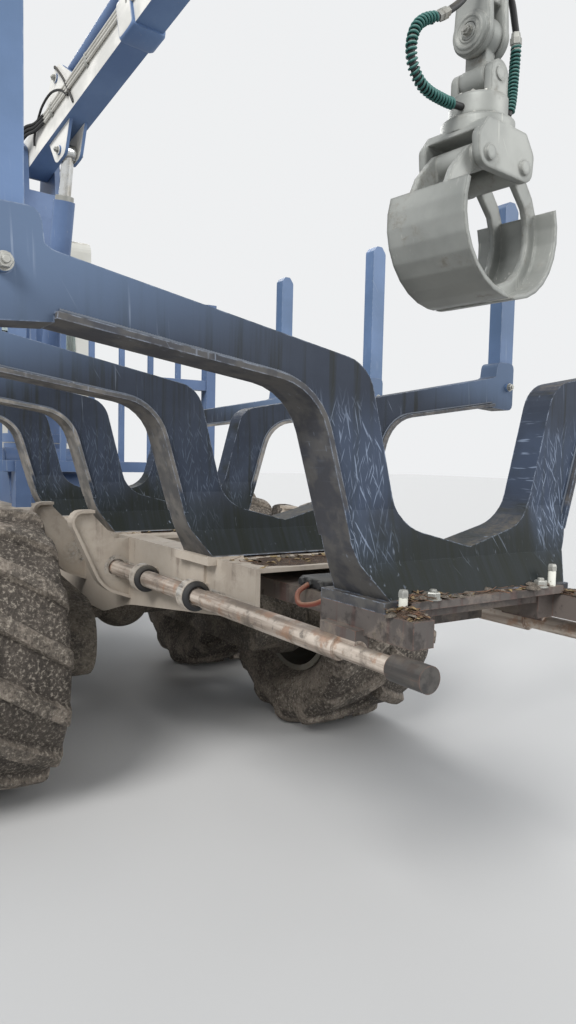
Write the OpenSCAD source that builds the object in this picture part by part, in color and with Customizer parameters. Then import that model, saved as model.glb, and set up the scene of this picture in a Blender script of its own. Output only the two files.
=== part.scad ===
// Forestry forwarder: eight wheels, a hinged frame, a load space of curved bunks with a
// sliding rear carriage, and a slewing timber crane behind the cab.
// X runs forward, Y to the machine's left, Z up from the ground.

/* [Wheels] */
// Tyre radius over the lugs
tyre_r = 680; // [600:1:720]
// Tyre width over the sidewalls
tyre_w = 710; // [600:1:720]
// Height of the tread lugs
lug_h = 52; // [30:1:70]
// Lugs on each side of a tyre
lug_count = 15; // [11:1:18]
// Rim radius at the bead
rim_r = 330; // [300:1:350]
// Sideways place of the wheel centres
track_half = 1070; // [1060:1:1120]
// Distance between the two wheels of one bogie
bogie_pitch = 1500; // [1460:1:1600]

/* [Frames] */
// Length over everything, from carriage to bumper
machine_len = 10200; // [10100:1:10400]
// Height of the load frame's top
frame_top = 1220; // [1200:1:1260]
// Half width over the frame's side plates
frame_half = 360; // [340:1:370]
// Thickness of the frame plates
plate_t = 20; // [12:1:25]
// Height of the axle centres
axle_z = 720; // [700:1:740]
// Radius of the axle tubes
axle_r = 115; // [90:1:120]

/* [Load space] */
// Distance from one bunk to the next
bunk_pitch = 1040; // [1000:1:1060]
// Thickness of a bunk's web
bunk_t = 110; // [90:1:130]
// Half width to the stake's inner face
stake_in = 1335; // [1325:1:1345]
// Depth of a stake across the machine
stake_d = 95; // [80:1:100]
// Width of a stake along the machine
stake_w = 80; // [60:1:80]
// Height of the stakes' tops
stake_top = 2950; // [2700:1:3000]
// Radius of the carriage's guide tubes
tube_r = 37; // [30:1:40]
// Height of the guide tubes' centres
tube_z = 1070; // [1066:1:1080]
// Sideways place of the guide tubes
tube_y = 420; // [415:1:425]

/* [Crane] */
// Parked slew to the right of straight back, in degrees
slew_rest = 6.5; // [0:0.5:10]
// Parked rise of the main boom, in degrees
boom_rise = 13.5; // [12:0.5:15]
// Height of the boom's hinge pin
boom_pin_z = 3953; // [3940:1:3970]
// Main boom length between its pins
boom_len = 4479; // [4440:1:4500]
// Main boom width
boom_w = 200; // [196:1:210]
// Main boom depth
boom_d = 220; // [200:1:230]
// Stick length from its hinge to its tip pin, drawn in
stick_len = 1764; // [1740:1:1780]
// Stick width
stick_w = 160; // [150:1:164]
// Stick depth
stick_d = 180; // [170:1:190]

/* [Cab and hood] */
// Rear face of the cab
cab_x = 1040; // [1020:1:1060]
// Cab length
cab_len = 1710; // [1700:1:1720]
// Cab width
cab_w = 1700; // [1600:1:1720]
// Height of the cab's floor
cab_floor = 1450; // [1440:1:1480]
// Height of the cab's roof
cab_top = 3720; // [3600:1:3740]
// Thickness of the cab's walls
cab_wall = 60; // [45:1:70]
// Hood width
hood_w = 1380; // [1300:1:1400]
// Thickness of the hood's panels
hood_t = 12; // [8:1:16]

/* [Hidden] */
$fn = 48;
gap = 0.3;
pivot_x = 600;
front_x = machine_len / 2;
rear_x = -machine_len / 2;
rear_bogie_x = -1910;
front_bogie_x = 3290;
rear_bunk_x = rear_x + 350;
headboard_x = -740;
foot_top = frame_top + 9;
foot_t = 31;
inner_half = frame_half - plate_t;

// Crane places in its own upright plane: h outward from the slewing axis, then the height
boom_pin = [0, boom_pin_z];
boom_dir = [cos(boom_rise), sin(boom_rise)];
boom_up = [-sin(boom_rise), cos(boom_rise)];
stick_rise = -90;
stick_dir = [cos(stick_rise), sin(stick_rise)];
knee_pin = boom_pin + boom_len * boom_dir;
tip_pin_at = knee_pin + stick_len * stick_dir;
lift_foot = [300, 2300];
lift_along = 600;
lift_below = 240;
lift_eye = boom_pin + lift_along * boom_dir - lift_below * boom_up;
crank_len = 440;
crank_eye = knee_pin - crank_len * stick_dir;
lug_along = 710;
lug_above = 258;
stick_cyl_foot = boom_pin + lug_along * boom_dir + lug_above * boom_up;
link_len = 160;
rotator_h = 220;
jaw_half = 180;

// Shapes that the parts share

function unit(v) = v / norm(v);

function corner(a, b, c, r, n) =
    r == 0 ? [b] :
    let (
        u = unit(a - b),
        v = unit(c - b),
        half = acos(u * v) / 2,
        middle = b + unit(u + v) * r / sin(half),
        p = b + u * r / tan(half) - middle,
        q = b + v * r / tan(half) - middle,
        start = atan2(p[1], p[0]),
        turn = atan2(q[1], q[0]) - start,
        sweep = turn > 180 ? turn - 360 : turn < -180 ? turn + 360 : turn
    )
    [for (i = [0:n]) middle + r * [cos(start + sweep * i / n), sin(start + sweep * i / n)]];

// Each row is a corner's two coordinates and its radius
function rounded(rows, n = 6) =
    let (k = len(rows), at = [for (p = rows) [p[0], p[1]]])
    [for (i = [0:k - 1]) each corner(at[(i + k - 1) % k], at[i], at[(i + 1) % k], rows[i][2], n)];

function side_normal(a, b) = let (d = unit(b - a)) [d[1], -d[0]];

function shifted(path, t) =
    let (k = len(path))
    [for (i = [0:k - 1])
        let (
            n1 = side_normal(path[max(i - 1, 0)], path[max(i, 1)]),
            n2 = side_normal(path[min(i, k - 2)], path[min(i + 1, k - 1)]),
            m = unit(n1 + n2)
        )
        path[i] + m * t / (m * n1)];

function backwards(list) = [for (i = [len(list) - 1:-1:0]) list[i]];

// An outline given as [Y, Z] becomes a plate of thickness t along X, centred on x
module across(x, t) translate([x - t / 2, 0, 0]) rotate([90, 0, 90]) linear_extrude(t) children();

// An outline given as [X, Z] becomes a plate from y0 to y1
module along(y0, y1) translate([0, y1, 0]) rotate([90, 0, 0]) linear_extrude(y1 - y0) children();

module both_sides() {
    children();
    mirror([0, 1, 0]) children();
}

module bar_y(x, z, r, y0, y1) translate([x, y0, z]) rotate([-90, 0, 0]) cylinder(r = r, h = y1 - y0);

module bar_x(y, z, r, x0, x1) translate([x0, y, z]) rotate([0, 90, 0]) cylinder(r = r, h = x1 - x0);

module block(x0, x1, y0, y1, z0, z1) translate([x0, y0, z0]) cube([x1 - x0, y1 - y0, z1 - z0]);

// Wheels

wheel_x = [
    rear_bogie_x - bogie_pitch / 2, rear_bogie_x + bogie_pitch / 2,
    front_bogie_x - bogie_pitch / 2, front_bogie_x + bogie_pitch / 2
];
bead_half = 212;
bead_r = rim_r + 0.8;

// One station of the tyre's outline at an angle: two bead, two wall and four tread points
function station(k) =
    let (
        pitch = 360 / lug_count,
        step = [0, 0.30, 0.66],
        turn = function (shift) pitch * (floor((k + shift) / 3) - floor(shift / 3) + step[(k + shift) % 3] - step[shift % 3]),
        low = tyre_r - lug_h,
        left_r = k % 3 == 0 ? low : tyre_r,
        right_r = (k + 1) % 3 == 0 ? low : tyre_r,
        a = turn(0),
        skew = 0.5 * pitch,
        rows = [
            [bead_r, bead_half, 0],
            [rim_r + 140, tyre_w / 2, 0.6 * skew],
            [left_r - 12, tyre_w / 2 - 22, skew],
            [left_r, 26, 0],
            [right_r, -26, 0],
            [right_r - 12, 22 - tyre_w / 2, skew],
            [rim_r + 140, -tyre_w / 2, 0.6 * skew],
            [bead_r, -bead_half, 0]
        ]
    )
    [for (p = rows) [p[0] * cos(a + p[2]), p[1], p[0] * sin(a + p[2])]];

module tyre_ring() {
    n = 3 * lug_count;
    m = 8;
    points = [for (k = [0:n - 1]) each station(k)];
    faces = [for (k = [0:n - 1], j = [0:m - 1])
        let (a = k * m + j, b = k * m + (j + 1) % m, c = ((k + 1) % n) * m + (j + 1) % m, d = ((k + 1) % n) * m + j)
        each [[a, b, c], [a, c, d]]];
    polyhedron(points, faces);
}

module tyre(i, side)
    color("#4a4540")
    translate([wheel_x[i], side * track_half, tyre_r])
    tyre_ring();

hub_bore = 90;
disc_in = 20;

module rim(i, side)
    color("#6f6a5f")
    translate([wheel_x[i], side * track_half, tyre_r])
    rotate([-90 * side, 0, 0])
    rotate_extrude($fn = 96) {
        translate([rim_r - 12, -248]) square([12 - gap, 496]);
        translate([rim_r - 12, -248]) square([34, 12]);
        translate([rim_r - 12, 236]) square([34, 12]);
        translate([hub_bore + gap, disc_in]) square([rim_r - hub_bore - 6, 24]);
        translate([hub_bore + gap, disc_in]) square([60, 70]);
    }

// Bogies and axles

case_in = 485;
case_out = 675;

module bogies(x) {
    half = bogie_pitch / 2;
    hub_end = track_half + disc_in + 60;
    color("#57534c") both_sides() {
        along(case_in, case_out) polygon(rounded([
            [x - half - 200, tyre_r - 190, 180], [x + half + 200, tyre_r - 190, 180],
            [x + half + 200, tyre_r + 190, 180], [x + 330, axle_z + 230, 200],
            [x - 330, axle_z + 230, 200], [x - half - 200, tyre_r + 190, 180]
        ]));
        for (dx = [-half, half]) {
            bar_y(x + dx, tyre_r, 230, case_out - 5, case_out + 90);
            bar_y(x + dx, tyre_r, 170, case_out + 80, track_half + disc_in - 12);
            bar_y(x + dx, tyre_r, hub_bore, case_out + 80, hub_end);
        }
    }
}

module axle(x) color("#57534c") {
    bar_y(x, axle_z, axle_r, -case_in, case_in);
    translate([x, 0, axle_z]) sphere(r = axle_r + 70, $fn = 64);
}

// Rear frame

module rear_frame() {
    outline = [
        [rear_x + 950, 1048], [rear_x + 1110, 1016], [rear_x + 2080, 895], [rear_x + 2210, 872],
        [rear_x + 2500, 790], [pivot_x - 1800, 780], [pivot_x - 1300, 820], [pivot_x - 320, 900],
        [pivot_x - 320, frame_top], [rear_x + 950, frame_top]
    ];
    bunk_places = [for (i = [1:3]) rear_bunk_x + i * bunk_pitch];
    color("#8d8676") difference() {
        union() {
            both_sides() along(inner_half, frame_half) polygon(outline);
            block(rear_x + 950, pivot_x - 320, -frame_half, frame_half, frame_top - 16, frame_top);
            for (x = bunk_places) both_sides() {
                block(x - 148, x + 148, 240, 400, frame_top - 24, foot_top);
                block(x - 60, x + 60, frame_half - 5, frame_half + 12, frame_top - 190, frame_top - 20);
            }
            for (x = [rear_x + 2200, pivot_x - 1900, pivot_x - 900, pivot_x - 400])
                block(x - 10, x + 10, -frame_half, frame_half, 900, frame_top);
            for (x = gusset_xs) gusset(x);
            // Fork of the frame's hinge
            for (z = [800, 1120]) {
                translate([pivot_x, 0, z]) cylinder(r = 120, h = 70);
                block(pivot_x - 340, pivot_x, -120, 120, z, z + 70);
            }
            block(pivot_x - 340, pivot_x - 310, -frame_half, frame_half, 800, frame_top);
            both_sides() for (x = [ring_front, ring_back]) {
                bar_x(tube_y, tube_z, ring_r, x - 26, x + 26);
                block(x - 20, x + 20, inner_half, tube_y, tube_z - 45, tube_z + 45);
            }
        }
        for (x = [rear_x + 1850, rear_x + 2950])
            block(x - 300, x + 300, -230, 230, frame_top - 40, frame_top + 10);
        bar_y(rear_bogie_x, axle_z, axle_r + gap, -500, 500);
        both_sides() bar_x(tube_y, tube_z, tube_r + gap, ring_back - 60, ring_front + 60);
        // The tubes pass freely through the rear pair of brackets
        both_sides() bar_x(tube_y, tube_z, tube_r + tube_room, gusset_xs[0] - 60, gusset_xs[0] + 60);
        translate([pivot_x, 0, 700]) cylinder(r = hinge_r + gap, h = 700);
    }
}

// Curved bracket with a flange, from the frame's side up beside a wheel
module gusset(x) both_sides() {
    edge = concat(
        [[frame_half - 4, 930]],
        corner([frame_half, 930], [500, 985], [668, 1345], 170, 5),
        corner([500, 985], [668, 1345], [540, 1345], 45, 5),
        [[540, 1345]]
    );
    across(x, 14) polygon(concat(edge, [[540, 1330], [430, 1215], [frame_half - 4, 1215]]));
    across(x, 64) polygon(concat(shifted(edge, -4), backwards(shifted(edge, 10))));
}

gusset_xs = [rear_x + 2150, rear_x + 2800];
tube_room = 8;
hinge_r = 60;
ring_r = 63;
ring_back = rear_bunk_x + 978;
ring_front = rear_bunk_x + 1463;

// Bunks and stakes

// Corners of half a bunk from its foot out to the stake and back, each with a radius
bunk_half = [
    [362, foot_top, 0], [440, 1350, 260], [580, 1816, 195], [stake_in - gap, 1927, 0],
    [stake_in - gap, 2110, 0], [stake_in - 45, 2054, 60], [402, 1886, 120], [280, 1431, 150]
];
bunk_outline = rounded(concat(
    bunk_half, [[0, 1360, 0]], [for (p = backwards(bunk_half)) [-p[0], p[1], p[2]]]
));
lower_edge = concat(
    [[362, foot_top]],
    corner([362, foot_top], [440, 1350], [580, 1816], 260, 6),
    corner([440, 1350], [580, 1816], [stake_in - gap, 1927], 195, 6),
    [[stake_in - 60, 1918]]
);

module bunk(x) {
    strip = concat(shifted(lower_edge, -4), backwards(shifted(lower_edge, 12)));
    foot = [
        [x - 146, foot_top], [x + 113, foot_top], [x + 70, 1330], [x + bunk_t / 2, 1480],
        [x - bunk_t / 2, 1480], [x - 85, 1330]
    ];
    across(x, bunk_t) polygon(bunk_outline);
    both_sides() intersection() {
        across(x, 300) polygon(strip);
        union() {
            along(0, 2000) polygon(foot);
            block(x - 75, x + 75, 0, 1400, 1400, 2000);
        }
    }
    intersection() {
        across(x, 300) polygon(bunk_outline);
        along(-600, 600) polygon(foot);
    }
    both_sides() difference() {
        across(x, stake_w + 30) polygon(rounded([
            [stake_in - 60, 1900, 0], [stake_in + stake_d - 5, 1890, 30],
            [stake_in + stake_d - 5, 2135, 30], [stake_in - 30, 2135, 30]
        ], 3));
        across(x, stake_w + 2 * gap) translate([stake_in - gap, 1905]) square([200, 400]);
        bar_x(stake_in + stake_d / 2, 2010, 21 + gap, x - 100, x + 100);
    }
}

module stakes(x) both_sides() {
    across(x, stake_w) polygon(rounded([
        [stake_in, 1905 + gap, 0], [stake_in + stake_d, 1905 + gap, 25],
        [stake_in + stake_d, stake_top - 40, 30], [stake_in + stake_d - 30, stake_top, 10],
        [stake_in + 25, stake_top, 10], [stake_in, stake_top - 30, 20]
    ], 3));
    bar_x(stake_in + stake_d / 2, 2010, 21, x - stake_w / 2 - 28, x + stake_w / 2 + 28);
}

module fixed_bunks() color("#3d4650")
    for (i = [1:3]) bunk(rear_bunk_x + i * bunk_pitch);

module fixed_stakes() color("#36404c")
    for (i = [1:3]) stakes(rear_bunk_x + i * bunk_pitch);

module rear_bunk() color("#3d4650") {
    bunk(rear_bunk_x);
    both_sides() block(rear_bunk_x - 146, rear_bunk_x + 149, 190, 400, foot_top - foot_t, foot_top);
}

module rear_stakes() color("#36404c") stakes(rear_bunk_x);

module bunk_carriage() color("#6a5648") {
    x = rear_bunk_x;
    top = foot_top - foot_t;
    both_sides() {
        // Long block under the bunk's foot, and its narrower tail
        block(x - 146, x + 149, 250, 400, top - 76, top);
        block(x - 264, x - 145, 325, 400, top - 76, top);
        // Guide tube with its thinner rear end and the cap on that
        bar_x(tube_y, tube_z, tube_r, x + 20, x + 860);
        bar_x(tube_y, tube_z, tube_r - 4, x + 850, x + 950);
        bar_x(tube_y, tube_z, tube_r, x + 945, x + 1830);
        bar_x(tube_y, tube_z, 27, x - 220, x + 30);
        bar_x(tube_y, tube_z, tube_r, rear_x, x - 215);
        block(x - 60, x + 110, 380, 430, tube_z + 15, top - 60);
        block(x - 180, x - 147, 185, 330, foot_top - 24, foot_top);
    }
    // Cross plate between the feet, with its rear edge
    block(x - 140, x + 149, -260, 260, top - 24, top);
    block(x - 141, x + 149, -190, 190, top - 1, foot_top);
    block(x - 180, x - 140, -190, 190, foot_top - 24, foot_top);
    // Beam that slides between the frame's side plates
    block(x + 60, x + 149, -260, 260, top - 60, top - 20);
    block(x + 60, x + 1250, -220, 220, 1090, top - 40);
}

module headboard() color("#4a4f55") {
    x = headboard_x;
    both_sides() {
        block(x - 50, x + 50, 1180, 1260, 1480, 2860);
        for (y = [220, 460, 700, 940]) block(x - 15, x + 15, y - 20, y + 20, 1500, 2840);
        block(x - 60, x + 60, 250, frame_half, frame_top, 1560);
    }
    block(x - 15, x + 15, -20, 20, 1500, 2840);
    for (z = [1480, 2160, 2780]) block(x - 40, x + 40, -1200, 1200, z, z + 80);
}

// Front frame

module front_frame() color("#4d5a3c") difference() {
    x0 = pivot_x + 260;
    union() {
        both_sides() along(inner_half, frame_half) polygon([
            [x0, 760], [cab_x + 1260, 640], [front_x - 800, 640], [front_x - 150, 800],
            [front_x - 150, 1180], [x0, 1180]
        ]);
        block(x0, cab_x + cab_len - 50, -frame_half, frame_half, 1164, 1180);
        for (x = [x0 + 10, cab_x + 1060, hood_x0 + 120, front_x - 800, front_x - 260])
            block(x - 10, x + 10, -frame_half, frame_half, 900, 1000);
        block(x0, x0 + 30, -frame_half, frame_half, 760, 1180);
        block(pivot_x, x0 + 10, -110, 110, 888, 1112);
        translate([pivot_x, 0, 888]) cylinder(r = 110, h = 224);
        translate([pivot_x, 0, 780]) cylinder(r = hinge_r, h = 430);
        // Posts and pins of the hood's hinge
        both_sides() along(inner_half, frame_half) {
            translate([front_x - 195, 1150]) square([45, hood_pin_z - 1150]);
            translate([hood_pin_x, hood_pin_z]) circle(r = 24);
        }
        both_sides() bar_y(hood_pin_x, hood_pin_z, 12, inner_half, frame_half + 44);
        both_sides() for (x = [cab_x + 200, cab_x + cab_len - 250])
            block(x - 60, x + 60, 200, 340, 1170, cab_floor);
        both_sides() for (x = fender_feet) block(x - 60, x + 60, inner_half, fender_foot_y, 1100, 1180);
    }
    bar_y(front_bogie_x, axle_z, axle_r + gap, -500, 500);
    translate([front_bogie_x, 0, axle_z]) sphere(r = axle_r + 80, $fn = 64);
}

hood_pin_x = front_x - 170;
hood_pin_z = 1410;

module engine() color("#7a7a78")
    block(hood_x0 + 210, hood_x1 - 550, 60 - frame_half, frame_half - 60, 1000, 1850);

hood_x0 = cab_x + cab_len + 90;
hood_x1 = front_x - 200;
hood_z0 = 1430;

function hood_profile(inset) = rounded([
    [hood_x0 + inset, hood_z0 - (inset > 0 ? 20 : 0), 0], [hood_x1 - inset, hood_z0 - (inset > 0 ? 20 : 0), 0],
    [hood_x1 - 40 - inset, 1980 - inset, 140], [hood_x0 + 960, 2060 - inset, 300],
    [hood_x0 + 420, 2290 - inset, 300], [hood_x0 + inset, 2330 - inset, 30]
]);

module hood() color("#5d7a34") difference() {
    union() {
        difference() {
            along(-hood_w / 2, hood_w / 2) polygon(hood_profile(0));
            along(hood_t - hood_w / 2, hood_w / 2 - hood_t) polygon(hood_profile(hood_t));
            // Grille slots in the nose and vents in the sides
            for (z = [1520:90:1900]) block(hood_x1 - 120, hood_x1 + 50, -480, 480, z, z + 50);
            for (x = [hood_x0 + 900:110:hood_x1 - 350]) block(x, x + 60, -hood_w, hood_w, 1560, 1860);
        }
        both_sides() {
            bar_y(hood_pin_x, hood_pin_z, 24, frame_half + 6, frame_half + 40);
            block(hood_x1 - 11, hood_pin_x, frame_half + 6, frame_half + 40, hood_pin_z - 8, 1470);
        }
    }
    both_sides() bar_y(hood_pin_x, hood_pin_z, 12 + gap, 100, 600);
    translate([pipe_x, pipe_y, 2000]) cylinder(r = 60 + gap, h = 400);
}

pipe_x = hood_x0 + 150;
pipe_y = 160 - hood_w / 2;

module cab_profile(inset) polygon(rounded([
    [cab_x + inset, cab_floor + inset, 40], [cab_x + cab_len - 60 - inset, cab_floor + inset, 40],
    [cab_x + cab_len - inset, cab_floor + 700, 400],
    [cab_x + cab_len - 170 - inset, cab_top - inset, 160], [cab_x + 60 + inset, cab_top - inset, 120]
]));

door_x0 = cab_x + 560;
door_x1 = cab_x + cab_len - 260;
door_z0 = cab_floor + 90;
door_z1 = cab_top - 190;

module door_outline(grow) polygon(rounded([
    [door_x0 - grow, door_z0 - grow, 60], [door_x1 + grow, door_z0 - grow, 60],
    [door_x1 + grow, door_z1 + grow, 90], [door_x0 - grow, door_z1 + grow, 60]
]));

module door_window(grow) polygon(rounded([
    [door_x0 + 70 - grow, door_z0 + 620 - grow, 60], [door_x1 - 70 + grow, door_z0 + 620 - grow, 60],
    [door_x1 - 70 + grow, door_z1 - 70 + grow, 60], [door_x0 + 70 - grow, door_z1 - 70 + grow, 60]
]));

module rear_side_window(grow) polygon(rounded([
    [cab_x + 110 - grow, cab_floor + 850 - grow, 50], [door_x0 - 70 + grow, cab_floor + 850 - grow, 50],
    [door_x0 - 70 + grow, cab_top - 260 + grow, 60], [cab_x + 130 - grow, cab_top - 260 + grow, 60]
]));

// Outline of the front and rear windows, as half width, bottom and top
module end_window(half, z0, z1) polygon(rounded([
    [-half, z0, 60], [half, z0, 60], [half - 40, z1, 70], [40 - half, z1, 70]
]));

door_pin_x = door_x0 - 4;
door_pin_y = cab_w / 2 + 20;
door_hinge_zs = [door_z0 + 200, door_z1 - 260];

module door_pin(z, r, h) translate([door_pin_x, door_pin_y, z]) cylinder(r = r, h = h);

module cab_shell() color("#d8d6cc") {
    shell_walls();
    // Lugs and pins of the door's hinges
    for (z = door_hinge_zs, dz = [-31, 61]) {
        door_pin(z + dz, 16, 30);
        block(door_pin_x - 45, door_pin_x, cab_w / 2 - 2, door_pin_y + 10, z + dz, z + dz + 30);
    }
    for (z = door_hinge_zs) door_pin(z - 10, 8, 80);
}

module shell_walls() difference() {
    half = cab_w / 2;
    along(-half, half) cab_profile(0);
    along(cab_wall - half, half - cab_wall) cab_profile(cab_wall);
    along(half - cab_wall - 20, half + 20) door_outline(6);
    along(-half - 20, cab_wall + 20 - half) door_window(0);
    along(half - cab_wall - 20, half + 20) rear_side_window(0);
    along(-half - 20, cab_wall + 20 - half) rear_side_window(0);
    across(cab_x + cab_len - 100, 420) end_window(half - 130, cab_floor + 560, cab_top - 190);
    across(cab_x + 50, 220) end_window(half - 140, cab_floor + 700, cab_top - 200);
}

module cab_glass() color("#9fb4bd") {
    half = cab_w / 2;
    pane = 8;
    y = half - cab_wall / 2;
    along(-y - pane / 2, pane / 2 - y) door_window(-gap);
    both_sides() along(y - pane / 2, y + pane / 2) rear_side_window(-gap);
    intersection() {
        across(cab_x + cab_len - 100, 420) end_window(half - 130 - gap, cab_floor + 560 + gap, cab_top - 190 - gap);
        difference() {
            along(-half, half) cab_profile(cab_wall / 2 - pane / 2);
            along(-half - 1, half + 1) cab_profile(cab_wall / 2 + pane / 2);
        }
    }
    intersection() {
        across(cab_x + 50, 220) end_window(half - 140 - gap, cab_floor + 700 + gap, cab_top - 200 - gap);
        difference() {
            along(-half, half) cab_profile(cab_wall / 2 - pane / 2);
            along(-half - 1, half + 1) cab_profile(cab_wall / 2 + pane / 2);
        }
    }
}

module cab_door() color("#d8d6cc") {
    half = cab_w / 2;
    difference() {
        along(half - cab_wall + 5, half) door_outline(0);
        along(half - cab_wall - 20, half + 20) door_window(0);
    }
    for (z = door_hinge_zs) difference() {
        union() {
            door_pin(z, 16, 60);
            block(door_pin_x, door_x0 + 60, half - 1, half + 14, z, z + 60);
        }
        door_pin(z - 10, 8 + gap, 100);
    }
}

module door_glass() color("#9fb4bd") {
    y = cab_w / 2 - cab_wall / 2;
    along(y - 4, y + 4) door_window(-gap);
}

module seat() color("#2c2c2e") {
    x = cab_x + 620;
    block(x - 180, x + 180, -180, 180, cab_floor + cab_wall, cab_floor + 330);
    along(-240, 240) polygon(rounded([
        [x - 260, cab_floor + 330, 20], [x + 270, cab_floor + 330, 40], [x + 280, cab_floor + 450, 50],
        [x - 130, cab_floor + 440, 60], [x - 230, cab_floor + 1150, 50], [x - 360, cab_floor + 1150, 50]
    ]));
    both_sides() block(x - 150, x + 260, 250, 340, cab_floor + 560, cab_floor + 640);
    both_sides() block(x - 150, x - 90, 230, 260, cab_floor + 380, cab_floor + 600);
}

fender_feet = [front_bogie_x - 290, front_bogie_x + 860];
fender_foot_y = 640;

module fenders() color("#3c3c3c") both_sides() {
    x = front_bogie_x;
    half = bogie_pitch / 2;
    outer = rounded([
        [x - half - 760, 1250, 0], [x - half - 620, 1425, 160], [x + half + 620, 1425, 160],
        [x + half + 800, 1150, 0], [x + half + 770, 1150, 0], [x + half + 605, 1395, 150],
        [x - half - 605, 1395, 150], [x - half - 735, 1235, 0]
    ]);
    along(690, track_half + tyre_w / 2 - 5) polygon(outer);
    for (foot = fender_feet) block(foot - 60, foot + 60, fender_foot_y, 700, 1100, 1420);
}

tow_r = 25;

module bumper() color("#4d5a3c") {
    x = front_x;
    along(-700, 700) polygon(rounded([
        [x - 150, 780, 0], [x - 30, 780, 60], [x, 900, 40], [x, 1250, 60], [x - 60, 1330, 40], [x - 150, 1330, 0]
    ]));
    // Towing eye
    along(-20, 20) difference() {
        union() {
            translate([x - 75, 730]) circle(r = 55);
            translate([x - 130, 730]) square([110, 60]);
        }
        translate([x - 75, 730]) circle(r = tow_r);
    }
}

module steps() color("#3f3f3f") {
    x = cab_x + 120;
    both_sides() for (dx = [0, 460]) along(760, 790) polygon([
        [x + dx, 520], [x + dx + 50, 520], [x + dx + 50, cab_floor], [x + dx, cab_floor]
    ]);
    for (z = [520, 820, 1120, 1410]) both_sides() block(x, x + 510, 640, 880, z, z + 30);
    both_sides() block(x, x + 510, 340, 800, 1410, cab_floor - 10);
}

module fuel_tank() color("#44503a") {
    x = cab_x + 70;
    along(frame_half, 630) polygon(rounded([
        [x, 760, 60], [x + 620, 760, 60], [x + 620, 1330, 60], [x, 1330, 60]
    ]));
    along(-630, -frame_half) polygon(rounded([
        [x, 760, 60], [x + 620, 760, 60], [x + 620, 1330, 60], [x, 1330, 60]
    ]));
}

module exhaust() color("#5b5148") translate([pipe_x, pipe_y, 0]) {
    translate([0, 0, 2280]) cylinder(r = 60, h = 600);
    translate([0, 0, 2280]) cylinder(r = 40, h = 700);
}

module work_lamps() color("#c9c6b8") for (y = [-600, -240, 240, 600]) {
    block(cab_x + 100, cab_x + 200, y - 70, y + 70, cab_top, cab_top + 100);
    block(cab_x + cab_len - 320, cab_x + cab_len - 220, y - 70, y + 70, cab_top, cab_top + 100);
}

// Crane

module in_crane() rotate([0, 0, 180 + slew_rest]) children();

// Moves a shape drawn along its own X to run from point p of the crane's plane at an angle
module laid(p, angle) translate([p[0], 0, p[1]]) rotate([0, -angle, 0]) children();

function angle_of(p, q) = atan2(q[1] - p[1], q[0] - p[0]);

pillar_foot = 1700;
boom_pin_r = 50;
knee_pin_r = 45;
lift_pin_r = 40;
lug_pin_r = 32;
tip_pin_r = 30;
side_gap = 6;

module crane_base() color("#5a5d60") {
    difference() {
        along(-280, 280) polygon(rounded([
            [-340, frame_top, 0], [270, frame_top, 0], [250, 1330, 60], [220, 1470, 60],
            [-240, 1470, 60], [-300, 1330, 60]
        ]));
        translate([0, 0, 1400]) cylinder(r = 200, h = 100);
    }
    difference() {
        translate([0, 0, 1400]) cylinder(r = 250, h = pillar_foot - 1400 - side_gap);
        translate([0, 0, pillar_foot - 220]) cylinder(r = 130 + gap, h = 300);
    }
    for (x = [-320, 320]) bar_y(x, 1560, 95, -330, 330);
}

module crane_pillar() color("#3b4450") in_crane() {
    cheek = boom_w / 2 + side_gap;
    difference() {
        union() {
            along(-150, 150) polygon(rounded([
                [-220, pillar_foot, 20], [230, pillar_foot, 20], [205, 2150, 60],
                [170, 3500, 60], [130, boom_pin_z + 60, 80], [0, boom_pin_z + 150, 90],
                [-140, boom_pin_z + 60, 90], [-210, 3300, 60]
            ]));
            translate([0, 0, pillar_foot]) cylinder(r = 260, h = 70);
            translate([0, 0, pillar_foot - 210]) cylinder(r = 130, h = 220);
            both_sides() along(86, 120) polygon(rounded([
                [150, 2080, 0], [lift_foot[0] + 80, lift_foot[1] - 120, 60],
                [lift_foot[0] + 80, lift_foot[1] + 80, 70], [150, 2480, 0]
            ]));
        }
        along(-cheek, cheek) polygon([
            [-400, boom_pin_z - 180], [400, boom_pin_z - 300],
            [400, boom_pin_z + 400], [-400, boom_pin_z + 400]
        ]);
    }
    bar_y(boom_pin[0], boom_pin[1], boom_pin_r, -170, 170);
    both_sides() bar_y(boom_pin[0], boom_pin[1], 85, 149, 164);
    bar_y(lift_foot[0], lift_foot[1], lift_pin_r, -134, 134);
}

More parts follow.
